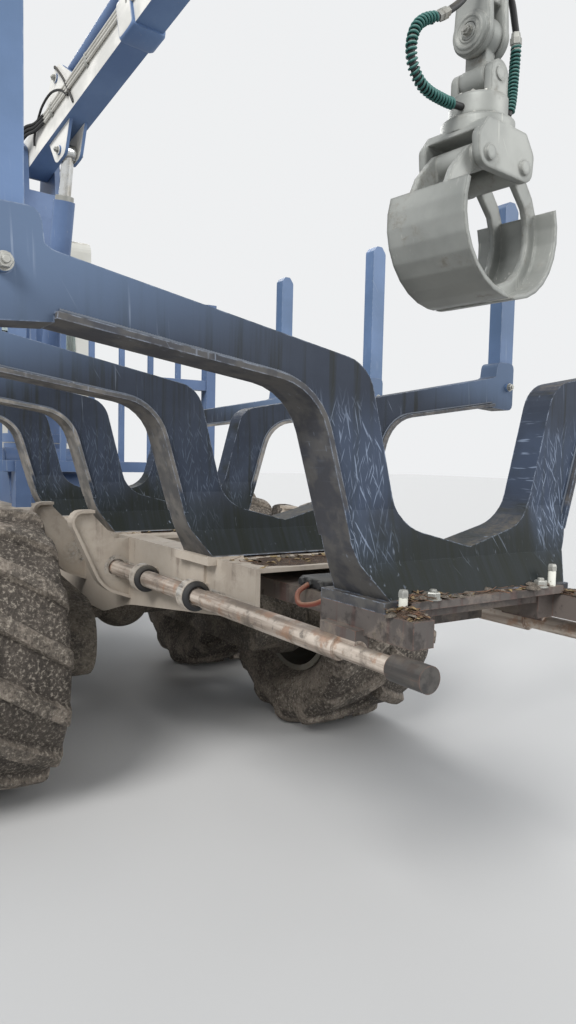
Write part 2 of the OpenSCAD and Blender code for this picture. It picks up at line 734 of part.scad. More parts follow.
module main_boom() color("#414c59") in_crane() laid(boom_pin, boom_rise) {
    side = boom_w / 2;
    low = -boom_d / 2;
    difference() {
        union() {
            bar_y(0, 0, 120, -side, side);
            along(-side, side) polygon(rounded([
                [0, -119, 0], [300, low, 60], [boom_len - 480, low, 60],
                [boom_len - 250, -20, 20], [boom_len - 250, 10, 20], [boom_len - 430, -low, 40],
                [300, -low, 60], [0, 119, 0]
            ]));
            // Cheeks that hold the stick's hinge
            both_sides() along(side - 2, side + 22) {
                polygon(rounded([
                    [boom_len - 720, -80, 40], [boom_len - 200, -104, 60], [boom_len, -100, 0],
                    [boom_len, 100, 0], [boom_len - 200, 104, 60], [boom_len - 720, 80, 40]
                ]));
                translate([boom_len, 0]) circle(r = 100);
            }
            // Lug of the stick cylinder's foot
            both_sides() along(62, 92) polygon(rounded([
                [lug_along - 250, -low - 10, 0], [lug_along - 70, lug_above + 72, 90],
                [lug_along + 75, lug_above + 72, 80], [lug_along + 290, -low - 10, 0]
            ]));
            // Clevis of the lift rod
            both_sides() along(46, 70) polygon(rounded([
                [lift_along - 160, low + 10, 0], [lift_along - 80, -lift_below - 70, 70],
                [lift_along + 80, -lift_below - 70, 70], [lift_along + 220, low + 10, 0]
            ]));
        }
        bar_y(0, 0, boom_pin_r + gap, -300, 300);
    }
    bar_y(boom_len, 0, knee_pin_r, -side - 40, side + 40);
    bar_y(lug_along, lug_above, lug_pin_r, -104, 104);
    both_sides() bar_y(lift_along, -lift_below, 34, 69, 84);
}

module lift_barrel() {
    a = angle_of(lift_foot, lift_eye);
    color("#3b4450") in_crane() laid(lift_foot, a) difference() {
        union() {
            bar_y(0, 0, 75, -80, 80);
            translate([30, 0, 0]) rotate([0, 90, 0]) cylinder(r = 80, h = 1220);
        }
        bar_y(0, 0, lift_pin_r + gap, -100, 100);
        translate([130, 0, 0]) rotate([0, 90, 0]) cylinder(r = 45 + gap, h = 1300);
    }
}

module lift_rod() {
    a = angle_of(lift_foot, lift_eye);
    len = norm(lift_eye - lift_foot);
    color("#b9b9b5") in_crane() laid(lift_foot, a) {
        translate([len - 1320, 0, 0]) rotate([0, 90, 0]) cylinder(r = 45, h = 1300);
        bar_y(len, 0, 58, -40, 40);
    }
}

module stick_barrel() {
    a = angle_of(stick_cyl_foot, crank_eye);
    color("#3b4450") in_crane() laid(stick_cyl_foot, a) difference() {
        union() {
            bar_y(0, 0, 55, -56, 56);
            translate([25, 0, 0]) rotate([0, 90, 0]) cylinder(r = 55, h = 2325);
        }
        bar_y(0, 0, lug_pin_r + gap, -100, 100);
        translate([1300, 0, 0]) rotate([0, 90, 0]) cylinder(r = 32 + gap, h = 1200);
    }
}

module stick_rod() {
    a = angle_of(stick_cyl_foot, crank_eye);
    len = norm(crank_eye - stick_cyl_foot);
    color("#b9b9b5") in_crane() laid(stick_cyl_foot, a) {
        translate([len - 1970, 0, 0]) rotate([0, 90, 0]) cylinder(r = 32, h = 1950);
        bar_y(len, 0, 50, -38, 38);
    }
}

mouth = stick_len - 220;
slide_w = 120;
slide_d = 140;

module stick() color("#414c59") in_crane() laid(knee_pin, stick_rise) {
    half = boom_w / 2 - 8;
    difference() {
        union() {
            bar_y(0, 0, 118, -half, half);
            along(-stick_w / 2, stick_w / 2) polygon(rounded([
                [0, -115, 0], [330, -stick_d / 2, 80], [mouth, -stick_d / 2, 10],
                [mouth, stick_d / 2, 10], [330, stick_d / 2, 80], [0, 115, 0]
            ], 4));
            along(-stick_w / 2 - 10, stick_w / 2 + 10)
                translate([mouth - 90, -stick_d / 2 - 10]) square([90, stick_d + 20]);
            // Crank that the stick cylinder turns
            both_sides() along(44, half) {
                polygon([[60, 100], [-crank_len, 62], [-crank_len, -62], [60, -100]]);
                translate([-crank_len, 0]) circle(r = 62);
            }
        }
        along(-slide_w / 2 - side_gap, slide_w / 2 + side_gap)
            translate([200, -slide_d / 2 - side_gap]) square([mouth - 260, slide_d + 2 * side_gap]);
        along(-slide_w / 2 - gap, slide_w / 2 + gap)
            translate([300, -slide_d / 2 - gap]) square([mouth, slide_d + 2 * gap]);
        bar_y(0, 0, knee_pin_r + gap, -300, 300);
    }
    both_sides() bar_y(-crank_len, 0, 34, half - 1, half + 10);
}

module extension() color("#6c6f70") in_crane() laid(knee_pin, stick_rise) {
    along(-slide_w / 2, slide_w / 2) polygon([
        [250, -slide_d / 2], [stick_len - 190, -slide_d / 2], [stick_len - 110, -60],
        [stick_len - 110, 60], [stick_len - 190, slide_d / 2], [250, slide_d / 2]
    ]);
    both_sides() along(34, slide_w / 2) {
        polygon([
            [stick_len - 220, -70], [stick_len, -84], [stick_len, 84], [stick_len - 220, 70]
        ]);
        translate([stick_len, 0]) circle(r = 84);
    }
    bar_y(stick_len, 0, tip_pin_r, -slide_w / 2 - 20, slide_w / 2 + 20);
    both_sides() bar_y(stick_len, 0, 76, slide_w / 2 - 1, slide_w / 2 + 14);
}

// What hangs from the tip pin is drawn from that pin
module at_tip() in_crane() translate([tip_pin_at[0], 0, tip_pin_at[1]]) children();

cross_pin_r = 26;

module tip_link() color("#8a8d8c") at_tip() difference() {
    union() {
        bar_y(0, 0, 76, -28, 28);
        block(-46, 46, -28, 28, -link_len + 30, -20);
        bar_x(0, -link_len, 52, -55, 55);
    }
    bar_y(0, 0, tip_pin_r + gap, -100, 100);
    bar_x(0, -link_len, cross_pin_r + gap, -100, 100);
}

module rotator() color("#7d8081") at_tip() translate([0, 0, -link_len]) {
    bar_x(0, 0, cross_pin_r, -100, 100);
    for (s = [-78, 78]) {
        bar_x(0, 0, 50, s - 17, s + 17);
        block(s - 17, s + 17, -50, 50, -90, 0);
    }
    translate([0, 0, -160]) cylinder(r = 112, h = 82);
    translate([0, 0, -rotator_h]) cylinder(r = 60, h = 70);
}

head_z = -link_len - rotator_h;
jaw_pin_s = 110;
jaw_pin_z = head_z - 110;

// The grapple's own frame: X across the jaws' spread, Y along their pins
module in_grapple() at_tip() rotate([0, 0, 90]) children();

module grapple_head() color("#5c5f60") in_grapple() {
    difference() {
        union() {
            translate([0, 0, head_z]) cylinder(r = 140, h = 52);
            along(-140, 140) polygon(rounded([
                [-165, jaw_pin_z - 50, 50], [165, jaw_pin_z - 50, 50], [175, head_z - 50, 40],
                [120, head_z + 20, 20], [-120, head_z + 20, 20], [-175, head_z - 50, 40]
            ], 4));
        }
        along(-108, 108) polygon([
            [-260, jaw_pin_z - 200], [260, jaw_pin_z - 200], [260, head_z - 30], [-260, head_z - 30]
        ]);
        translate([0, 0, head_z - 10]) cylinder(r = 60 + gap, h = 120);
    }
    for (s = [-1, 1]) bar_y(s * jaw_pin_s, jaw_pin_z, 28, -152, 152);
}

function arc(r, a0, a1, c, n) = [for (i = [0:n]) c + r * [cos(a0 + (a1 - a0) * i / n), sin(a0 + (a1 - a0) * i / n)]];

module jaw(side) color("#6d7071") in_grapple() mirror([side < 0 ? 1 : 0, 0, 0]) difference() {
    c = [14, jaw_pin_z - 225];
    union() {
        both_sides() along(66, 90) polygon(concat(
            [[jaw_pin_s - 48, jaw_pin_z + 20], [jaw_pin_s, jaw_pin_z + 50], [jaw_pin_s + 50, jaw_pin_z + 30]],
            arc(283, 50, -84, c, 8), [[6, jaw_pin_z - 509]], arc(216, -78, 30, c, 6)
        ));
        along(-jaw_half, jaw_half) polygon(concat(
            arc(285, 20, -84, c, 8), [[6, jaw_pin_z - 510]], arc(267, -84, 20, c, 8)
        ));
        bar_y(jaw_pin_s, jaw_pin_z, 50, -104, 104);
    }
    bar_y(jaw_pin_s, jaw_pin_z, 28 + gap, -200, 200);
}

rear_frame();
axle(rear_bogie_x);  // rear_axle
bogies(rear_bogie_x);  // rear_bogies
fixed_bunks();
fixed_stakes();
headboard();
crane_base();
bunk_carriage();
rear_bunk();
rear_stakes();
tyre(0, 1);  // tyre_1_left
tyre(1, 1);  // tyre_2_left
tyre(2, 1);  // tyre_3_left
tyre(3, 1);  // tyre_4_left
tyre(0, -1);  // tyre_1_right
tyre(1, -1);  // tyre_2_right
tyre(2, -1);  // tyre_3_right
tyre(3, -1);  // tyre_4_right
rim(0, 1);  // rim_1_left
rim(1, 1);  // rim_2_left
rim(2, 1);  // rim_3_left
rim(3, 1);  // rim_4_left
rim(0, -1);  // rim_1_right
rim(1, -1);  // rim_2_right
rim(2, -1);  // rim_3_right
rim(3, -1);  // rim_4_right
front_frame();
axle(front_bogie_x);  // front_axle
bogies(front_bogie_x);  // front_bogies
engine();
hood();
cab_shell();
cab_glass();
cab_door();
door_glass();
seat();
fenders();
bumper();
steps();
fuel_tank();
exhaust();
work_lamps();
crane_pillar();
main_boom();
lift_barrel();
lift_rod();
stick();
stick_barrel();
stick_rod();
extension();
tip_link();
rotator();
grapple_head();
jaw(1);  // jaw_one
jaw(-1);  // jaw_two
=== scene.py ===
# %% [markdown]
# # A forestry forwarder
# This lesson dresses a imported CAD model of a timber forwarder: muddy lugged tyres, a load space of
# curved bunks, a sliding rear carriage on guide tubes, and a folding crane with a grapple.
# The CAD solids stay where they are and get procedural finishes. New pieces are surfaces worked out
# with numpy, each on a grid of two parameters or carried along a path.

import math

import bpy
import numpy as np
from mathutils import Matrix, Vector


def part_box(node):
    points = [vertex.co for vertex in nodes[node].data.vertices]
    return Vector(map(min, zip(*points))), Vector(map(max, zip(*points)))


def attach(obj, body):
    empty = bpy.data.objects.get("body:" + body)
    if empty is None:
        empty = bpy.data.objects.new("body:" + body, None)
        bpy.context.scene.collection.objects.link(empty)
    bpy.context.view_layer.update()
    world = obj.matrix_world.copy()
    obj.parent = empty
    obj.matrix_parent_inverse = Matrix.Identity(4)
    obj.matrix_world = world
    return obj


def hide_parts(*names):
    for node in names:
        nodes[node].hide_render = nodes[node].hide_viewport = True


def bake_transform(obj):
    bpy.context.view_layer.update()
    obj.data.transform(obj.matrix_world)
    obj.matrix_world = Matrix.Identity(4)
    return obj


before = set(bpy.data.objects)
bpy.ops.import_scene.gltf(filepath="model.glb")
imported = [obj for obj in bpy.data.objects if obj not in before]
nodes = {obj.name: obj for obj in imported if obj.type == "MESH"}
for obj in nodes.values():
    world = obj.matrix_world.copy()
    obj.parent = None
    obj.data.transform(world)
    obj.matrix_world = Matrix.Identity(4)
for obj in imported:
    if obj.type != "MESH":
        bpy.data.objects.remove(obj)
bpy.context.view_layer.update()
AXLE_Z = 0.68  # height of the wheels' centres
TUBE_Y, TUBE_Z = 0.42, 1.07  # the guide tubes lie along X at these distances
REAR_BUNK_X, BUNK_PITCH, BUNKS = -4.75, 1.04, 4
FRAME_TOP, FOOT_TOP, TAIL_TOP = 1.220, 1.229, 1.198  # frame, plate under the rear bunk, carriage's tail

# %% [markdown]
# ## The camera
# The camera stands low behind the machine's left rear corner, about 1.6 m above the ground, and looks
# forward past the rear bunk. Its place and turn are set as a matrix: three columns for right, up and
# backwards, so that no aiming constraint is needed.

# %% Camera
CAMERA_AT = np.array([-6.465, 1.771, 1.622])
YAW, PITCH, ROLL = (math.radians(a) for a in (33.7, 4.08, 1.256))
FOCAL_PIXELS, PICTURE_HEIGHT, SENSOR_MM = 761.89, 1024, 36.0


def pose_matrix(right, up, back, place):
    """An object's matrix from its three axes and its place."""
    pose = np.eye(4)
    pose[:3] = np.stack([right, up, back, place], 1)
    return Matrix(pose.tolist())


forward = np.array([math.cos(YAW) * math.cos(PITCH), -math.sin(YAW) * math.cos(PITCH), -math.sin(PITCH)])
level_right = np.array([-math.sin(YAW), -math.cos(YAW), 0.0])
level_up = np.cross(level_right, forward)
right = math.cos(ROLL) * level_right + math.sin(ROLL) * level_up
up = math.cos(ROLL) * level_up - math.sin(ROLL) * level_right

lens = bpy.data.cameras.new("camera")
lens.sensor_width = SENSOR_MM
lens.lens = FOCAL_PIXELS * SENSOR_MM / PICTURE_HEIGHT
lens.clip_end = 200
camera = bpy.data.objects.new("camera", lens)
bpy.context.scene.collection.objects.link(camera)
camera.matrix_world = pose_matrix(right, up, -forward, CAMERA_AT)
bpy.context.scene.camera = camera
print("lens mm:", round(lens.lens, 2))

# %% [markdown]
# ## Studio
# A pale floor and three wide, even lamps. They are suns, whose light is equally strong everywhere, so
# that nothing near a lamp burns out. The background is white only to camera, glossy and
# transmission rays, so it never adds light to the paint.

# %% Floor, world and lamps
scene = bpy.context.scene
scene.view_settings.view_transform = "Standard"


def linear(hex_tone):
    """A screen tone such as '4a5058' as linear red, green, blue and 1."""
    screen = np.array([int(hex_tone[i:i + 2], 16) for i in (0, 2, 4)]) / 255
    tone = np.where(screen <= 0.04045, screen / 12.92, ((screen + 0.055) / 1.055) ** 2.4)
    return (*tone.tolist(), 1.0)


def background_rays(tree):
    """1 for camera, glossy and transmission rays, 0 for the rays that carry light."""
    path = tree.nodes.new("ShaderNodeLightPath")
    total = path.outputs["Is Camera Ray"]
    for name in ("Is Glossy Ray", "Is Transmission Ray"):
        add = tree.nodes.new("ShaderNodeMath")
        add.operation = "ADD"
        add.use_clamp = True
        tree.links.new(total, add.inputs[0])
        tree.links.new(path.outputs[name], add.inputs[1])
        total = add.outputs[0]
    return total


world = bpy.data.worlds.new("studio")
scene.world = world
world.use_nodes = True
tree = world.node_tree
tree.nodes.clear()
shade, white, mix, out = (tree.nodes.new(k) for k in (
    "ShaderNodeBackground", "ShaderNodeBackground", "ShaderNodeMixShader", "ShaderNodeOutputWorld"))
shade.inputs["Color"].default_value = (0.86, 0.92, 1.0, 1)
shade.inputs["Strength"].default_value = 0.62
white.inputs["Color"].default_value = (0.86, 0.87, 0.88, 1)
tree.links.new(background_rays(tree), mix.inputs[0])
tree.links.new(shade.outputs[0], mix.inputs[1])
tree.links.new(white.outputs[0], mix.inputs[2])
tree.links.new(mix.outputs[0], out.inputs[0])

FLOOR_HALF, LAMP_REACH = 60, 20
corners = [(x * FLOOR_HALF, y * FLOOR_HALF, 0) for x, y in ((-1, -1), (1, -1), (1, 1), (-1, 1))]
floor_mesh = bpy.data.meshes.new("floor")
floor_mesh.from_pydata(corners, [], [(0, 1, 2, 3)])
floor = bpy.data.objects.new("floor", floor_mesh)
scene.collection.objects.link(floor)
floor_paint = bpy.data.materials.new("floor")
floor_paint.use_nodes = True
sockets = floor_paint.node_tree.nodes["Principled BSDF"].inputs
sockets["Base Color"].default_value = (0.46, 0.455, 0.445, 1)
sockets["Roughness"].default_value = 0.9
floor_mesh.materials.append(floor_paint)

LAMPS = [
    # name, way from the machine towards the lamp, strength, how wide it looks in radians
    ("key", (-4.3, 7.1, 7.3), 3.2, 0.45),
    ("fill", (-7.3, -6.4, 4.3), 1.45, 0.60),
    ("front", (13.7, -3.4, 7.3), 1.15, 0.45),
]
for name, way, strength, wide in LAMPS:
    lamp = bpy.data.lights.new(name, "SUN")
    lamp.energy, lamp.angle = strength, wide
    back = np.array(way) / np.linalg.norm(way)
    side = np.cross((0, 0, 1), back)
    side = side / np.linalg.norm(side)
    holder = bpy.data.objects.new(name, lamp)
    holder.matrix_world = pose_matrix(side, np.cross(back, side), back, back * LAMP_REACH)
    scene.collection.objects.link(holder)
print("lamps:", [row[0] for row in LAMPS])

# %% [markdown]
# ## Finishes
# Every finish is a small net of nodes on Object coordinates. The same few layers make all of them:
# broad fading of the paint, chips on the edges found by comparing the true normal with a bevelled
# one, long thin scratches from stretched noise, and mud that clings low down and on upward faces.

# %% Node helpers


class Net:
    """A material's node tree with short calls for the nodes that the finishes share."""

    def __init__(self, name, **fixed):
        self.material = bpy.data.materials.new(name)
        self.material.use_nodes = True
        self.tree = self.material.node_tree
        self.tree.nodes.clear()
        out = self.tree.nodes.new("ShaderNodeOutputMaterial")
        self.shader = self.tree.nodes.new("ShaderNodeBsdfPrincipled")
        self.tree.links.new(self.shader.outputs[0], out.inputs["Surface"])
        for key, value in fixed.items():
            self.shader.inputs[key.replace("_", " ")].default_value = value
        self.place = self.node("ShaderNodeTexCoord").outputs["Object"]

    def node(self, kind, **settings):
        made = self.tree.nodes.new(kind)
        for key, value in settings.items():
            setattr(made, key, value)
        return made

    def put(self, socket, value):
        if isinstance(value, (int, float, tuple)):
            socket.default_value = value
        else:
            self.tree.links.new(value, socket)

    def stretched(self, scale, turn=(0, 0, 0)):
        """Object coordinates turned first and scaled after, so that marks may run aslant."""
        vector = self.place
        for name, value in (("Rotation", turn), ("Scale", scale)):
            made = self.node("ShaderNodeMapping")
            self.put(made.inputs["Vector"], vector)
            made.inputs[name].default_value = value
            vector = made.outputs[0]
        return vector

    def noise(self, scale, detail=4.0, rough=0.55, vector=None):
        made = self.node("ShaderNodeTexNoise")
        self.put(made.inputs["Vector"], vector or self.place)
        made.inputs["Scale"].default_value = scale
        made.inputs["Detail"].default_value = detail
        made.inputs["Roughness"].default_value = rough
        return made.outputs["Fac"]

    def remap(self, value, low, high, to_low=0.0, to_high=1.0):
        made = self.node("ShaderNodeMapRange", interpolation_type="SMOOTHSTEP")
        self.put(made.inputs["Value"], value)
        made.inputs["From Min"].default_value = low
        made.inputs["From Max"].default_value = high
        made.inputs["To Min"].default_value = to_low
        made.inputs["To Max"].default_value = to_high
        return made.outputs[0]

    def math(self, kind, a, b=0.0, clamp=False):
        made = self.node("ShaderNodeMath", operation=kind, use_clamp=clamp)
        self.put(made.inputs[0], a)
        self.put(made.inputs[1], b)
        return made.outputs[0]

    def times(self, first, *others):
        """The product of several values."""
        for value in others:
            first = self.math("MULTIPLY", first, value)
        return first

    def most(self, first, *others):
        """The greatest of several values."""
        for value in others:
            first = self.math("MAXIMUM", first, value)
        return first

    def mix(self, amount, a, b):
        made = self.node("ShaderNodeMix", data_type="RGBA")
        for k, value in ((0, amount), (6, a), (7, b)):
            self.put(made.inputs[k], value)
        return made.outputs[2]

    def two_tone(self, amount, tone, other):
        """From one screen tone to another."""
        return self.mix(amount, linear(tone), linear(other))

    def layer(self, colour, mask, tone, share=1.0):
        """A screen tone over a colour where the mask says so, as strong as its share."""
        return self.mix(self.times(mask, share), colour, linear(tone))

    def streaks(self, scale, turn=(0, 0, 0), detail=5, rough=0.6):
        """Noise drawn out along the axes that have a small scale."""
        return self.noise(1.0, detail, rough, self.stretched(scale, turn))

    def axis(self, vector, name):
        made = self.node("ShaderNodeSeparateXYZ")
        self.put(made.inputs[0], vector)
        return made.outputs[name]

    def value(self, name):
        """A number that the mesh stores at each point."""
        return self.node("ShaderNodeAttribute", attribute_name=name).outputs["Fac"]

    def facing(self, direction):
        """The object's own normal against a direction: 1 where a face looks that way, -1 where away."""
        made = self.node("ShaderNodeVectorMath", operation="DOT_PRODUCT")
        self.put(made.inputs[0], self.node("ShaderNodeTexCoord").outputs["Normal"])
        made.inputs[1].default_value = direction
        return made.outputs["Value"]

    def facing_up(self):
        return self.facing((0, 0, 1))

    def from_tube(self):
        """Distance from the centre line of the nearer guide tube, which lies along X."""
        side = self.math("SUBTRACT", self.math("ABSOLUTE", self.axis(self.place, "Y")), TUBE_Y)
        rise = self.math("SUBTRACT", self.axis(self.place, "Z"), TUBE_Z)
        return self.math("SQRT", self.math("ADD", self.times(side, side), self.times(rise, rise)))

    def rounded(self, radius):
        """The normal as if edges were rounded by a radius."""
        bevel = self.node("ShaderNodeBevel", samples=4)
        bevel.inputs["Radius"].default_value = radius
        return bevel

    def edges(self, radius=0.006):
        """Near 1 on outer and inner edges: 1 minus the dot product of bevelled and true normals."""
        bevel = self.rounded(radius)
        made = self.node("ShaderNodeVectorMath", operation="DOT_PRODUCT")
        self.put(made.inputs[0], bevel.outputs[0])
        self.put(made.inputs[1], self.node("ShaderNodeNewGeometry").outputs["Normal"])
        return self.remap(self.math("SUBTRACT", 1.0, made.outputs["Value"]), 0.01, 0.16)

    def bump(self, height, strength, distance=0.004, soft=None):
        made = self.node("ShaderNodeBump")
        if soft:
            self.put(made.inputs["Normal"], self.rounded(soft).outputs[0])
        made.inputs["Strength"].default_value = strength
        made.inputs["Distance"].default_value = distance
        self.put(made.inputs["Height"], height)
        self.put(self.shader.inputs["Normal"], made.outputs[0])

    def finish(self, colour, rough):
        self.put(self.shader.inputs["Base Color"], colour)
        self.put(self.shader.inputs["Roughness"], rough)
        return self.material


def worked_paint(name, paint, faded, bare, mud, mud_share=0.35, mud_top=1.2, scratch=0.5, chips=0.6,
                 rough=0.5, metallic=0.0, dust=0.5, under=None, shine=0.35, soft=None):
    """Paint that has worked in a forest: faded in clouds, scratched down its length, chipped and splashed.
    under(net, colour) may change the paint before it is worn."""
    net = Net(name, Metallic=metallic, Specular_IOR_Level=shine)
    colour = net.two_tone(net.remap(net.noise(2.2, 5), 0.35, 0.68), paint, faded)
    if under:
        colour = under(net, colour)
    fine = net.noise(38, 6, 0.65)
    hairs = net.remap(net.streaks((75, 75, 2.3), (0.05, 0.03, 0), 2, 0.5), 0.66, 0.75)
    slants = net.remap(net.streaks((6, 110, 4.0), (0.55, 0, 0), 2, 0.5), 0.70, 0.77)
    lines = net.times(net.most(hairs, slants), net.remap(net.noise(2.8, 4), 0.44, 0.62))
    worn = net.times(net.edges(), net.remap(fine, 0.38, 0.62))
    colour = net.layer(colour, net.most(net.times(lines, scratch), net.times(worn, chips)), bare)
    low = net.remap(net.axis(net.place, "Z"), mud_top, 0.35)
    patches = net.noise(6.5, 8, 0.66)
    thin = 0.70 - mud_share * 0.55
    splash = net.remap(net.math("ADD", patches, net.times(low, 0.30)), thin, thin + 0.16)
    settled = net.times(net.remap(net.facing_up(), 0.55, 0.95), net.remap(patches, 0.36, 0.6))
    mud_mask = net.most(net.times(splash, 0.85), net.times(settled, dust))
    colour = net.mix(mud_mask, colour, net.two_tone(net.remap(fine, 0.3, 0.7), mud, faded))
    net.bump(net.math("ADD", net.times(fine, 0.35), mud_mask), 0.30, soft=soft)
    return net.finish(colour, net.math("ADD", net.times(mud_mask, 0.9 - rough), rough, clamp=True))


def grained(net, colour, scale, pale, dark):
    """Pale grains and dark pits of dried clay, and their relief."""
    grains = net.noise(scale, 6, 0.75)
    colour = net.layer(colour, net.remap(grains, 0.51, 0.64), pale, 0.75)
    colour = net.layer(colour, net.remap(grains, 0.47, 0.36), dark, 0.65)
    net.bump(net.math("ADD", net.times(net.noise(scale * 0.35, 6, 0.65), 1.6), grains), 0.8, 0.008)
    return colour


def caked_mud(name, wet, dry, under, under_share=0.25, scale=9.0):
    """Clay pressed on by rolling and splashing: lumpy, matt, with a little of what is under it."""
    net = Net(name, Specular_IOR_Level=0.3)
    colour = net.two_tone(net.remap(net.noise(scale, 8, 0.62), 0.36, 0.66), wet, dry)
    colour = net.layer(colour, net.remap(net.noise(scale * 0.8, 7), 0.56, 0.64), under, under_share)
    return net.finish(grained(net, colour, scale * 9, "8c8377", "332e29"), 0.9)


print("helpers ready")

# %% [markdown]
# ## Which finish goes on which solid
# The bunks are slate with pale scratches and the stakes a paler blue. The crane's slate is lightened towards
# blue as painted sky glare, and the boom's flat sides are painted pale as sunlit. The frame is coated in
# beige splash. The guide tubes are worn steel with mud wiped thin by the rings. A layer that belongs to one
# solid alone finds its place from Object coordinates.

# %% Finishes for the solids
MUD, DRY_MUD = "6f6659", "8c8375"
CRANE_SIDE = (0.1132, -0.9936, 0)  # square to the upright plane in which the crane folds


def tyre_finish(name):
    """Rubber under clay. The mesh's "bar" is 1 on a bar's top and 0 at its root: tops are rubbed bare in
    places, roots are painted dark both as wet clay and as the shade that falls between the bars, and the
    walls between dry to a pale crust."""
    net = Net(name, Specular_IOR_Level=0.3)
    bar = net.value("bar")
    colour = net.two_tone(net.remap(net.noise(6.5, 7, 0.6), 0.36, 0.64), "5a534b", "83796e")
    rubbed = net.times(net.remap(bar, 0.80, 0.99), net.remap(net.noise(9, 7, 0.65), 0.44, 0.58))
    colour = net.layer(colour, rubbed, "35322f", 0.55)
    # Painted shade with wet clay: the roots between the bars are darker and glossier.
    wet = net.remap(bar, 0.60, 0.04)
    colour = net.layer(colour, wet, "2f2a26", 0.72)
    return net.finish(grained(net, colour, 62, "a0978a", "26221f"), net.remap(wet, 0.0, 1.0, 0.92, 0.66))


def frame_layers(net, colour):
    """Grime runs down the side plates. The rings that hold the tubes are rubbed steel."""
    colour = net.layer(colour, net.remap(net.streaks((16, 16, 1.4)), 0.54, 0.70), "6a5e54", 0.65)
    steel = net.two_tone(net.remap(net.streaks((9, 60, 60)), 0.38, 0.62), "57534f", "a7a49d")
    return net.mix(net.remap(net.from_tube(), 0.068, 0.064), colour, steel)


def carriage_layers(net, colour):
    """The guide tubes are wiped by their rings: tan and rust streaks along X, with a dark cap behind. The
    carriage itself has rust runs, dust and grime."""
    blots = net.noise(11, 7, 0.65)
    tube = net.two_tone(net.remap(net.streaks((2.2, 42, 42), detail=6), 0.34, 0.62), "7b6d61", "b9ada0")
    tube = net.layer(tube, net.remap(blots, 0.52, 0.62), "8a6850", 0.7)
    tube = net.layer(tube, net.remap(blots, 0.42, 0.34), "3f3c3a", 0.7)
    tube = net.layer(tube, net.remap(net.axis(net.place, "X"), -4.962, -4.968), "262728", 0.9)
    colour = net.layer(colour, net.remap(net.streaks((20, 20, 1.6)), 0.50, 0.66), "4a3632", 0.7)
    colour = net.layer(colour, net.remap(net.noise(6.5, 9, 0.68), 0.50, 0.62), "85796f", 0.45)
    colour = net.layer(colour, net.remap(net.noise(9.5, 8, 0.68), 0.46, 0.38), "292523", 0.65)
    return net.mix(net.remap(net.from_tube(), 0.0385, 0.0378), colour, tube)


def bunk_layers(net, colour):
    """The web is streaked with grime, painted dark at its foot as shade with damp streaks, scuffed at its
    shoulder, and painted paler and bluer towards the arms as the light on its upper part. Flanges carry dust:
    their faces look down, and their edges stand out from the web, which is found by folding X, because the
    bunks repeat at an even pitch. The rear bunk's flanges are painted darker as shade, the front ones paler
    as light."""
    x, z = net.axis(net.place, "X"), net.axis(net.place, "Z")
    y = net.math("ABSOLUTE", net.axis(net.place, "Y"))
    colour = net.layer(colour, net.remap(net.streaks((4, 30, 1.2)), 0.48, 0.66), "25261f", 0.7)
    # Painted shade: the web gets darker towards its foot, in streaks.
    wet = net.times(net.remap(z, 1.52, 1.36), net.remap(net.streaks((4, 60, 2)), 0.3, 0.7, 1.0, 0.78))
    colour = net.layer(colour, wet, "181c16", 0.92)
    # Painted light: the web turns paler and bluer higher up, towards the arms.
    high = net.math("ADD", z, net.times(y, 0.25))
    colour = net.layer(colour, net.remap(high, 2.06, 2.40), "5f7089", 0.9)
    zone = net.times(net.remap(z, 1.28, 1.42), net.remap(z, 1.84, 1.66), net.remap(y, 0.27, 0.34),
                     net.remap(x, -4.4, -4.2, 1.0, 0.35), net.remap(net.noise(3.2, 4), 0.34, 0.54))
    strokes = [net.remap(net.streaks(scale, (tilt, 0, 0), 2, 0.5), 0.625, 0.70)
               for scale, tilt in (((8, 170, 9), 0.20), ((8, 210, 12), -0.28), ((8, 150, 16), 0.55))]
    colour = net.layer(colour, zone, "4c5a72", 0.30)
    colour = net.layer(colour, net.times(net.most(*strokes), zone), "93a0b4", 0.52)
    from_web = net.math("PINGPONG", net.math("SUBTRACT", x, REAR_BUNK_X), BUNK_PITCH / 2)
    edge = net.times(net.remap(from_web, 0.0565, 0.0600), net.remap(z, 1.47, 1.50))
    plate = net.remap(z, 1.236, 1.231)
    flange = net.most(edge, plate, net.remap(net.facing_up(), -0.08, -0.20))
    flange = net.times(flange, net.remap(net.noise(5, 6), 0.3, 0.6, 0.70, 0.97))
    clouds = net.remap(net.noise(13, 6), 0.4, 0.6)
    # Painted shade and light over the dust: the flanges go from darker at the rear bunk to paler at the front
    # bunks.
    dark, pale = net.two_tone(clouds, "3f3f42", "53514f"), net.two_tone(clouds, "6e6b66", "8f8981")
    return net.mix(flange, colour, net.mix(net.remap(x, -4.4, -2.6), dark, pale))


def crane_layers(net, colour):
    """The flat sides of the boom and the stick are painted pale as sunlit, their upper and lower faces keep
    the slate as in shade.
    """
    side = net.math("ABSOLUTE", net.facing(CRANE_SIDE))
    pale = net.two_tone(net.remap(net.noise(3.5, 6), 0.4, 0.62), "e0ddd6", "c9c7c1")
    return net.mix(net.remap(side, 0.93, 0.97), colour, pale)


def bright_rod(name):
    """Polished cylinder rod with a thin film of dust."""
    net = Net(name, Metallic=1.0)
    film = net.noise(9, 5)
    colour = net.two_tone(net.remap(film, 0.4, 0.7), "d2d3d2", "a9a59c")
    net.bump(net.noise(60, 3), 0.05, 0.001)
    return net.finish(colour, net.remap(film, 0.35, 0.7, 0.16, 0.36))


def clear_pane(name):
    """Glass with a faint film of dust."""
    net = Net(name, Transmission_Weight=1.0, IOR=1.45)
    film = net.noise(9, 7, 0.6)
    colour = net.two_tone(net.remap(film, 0.45, 0.75), "dbe4e4", "cfd4d0")
    return net.finish(colour, net.remap(film, 0.4, 0.8, 0.01, 0.05))


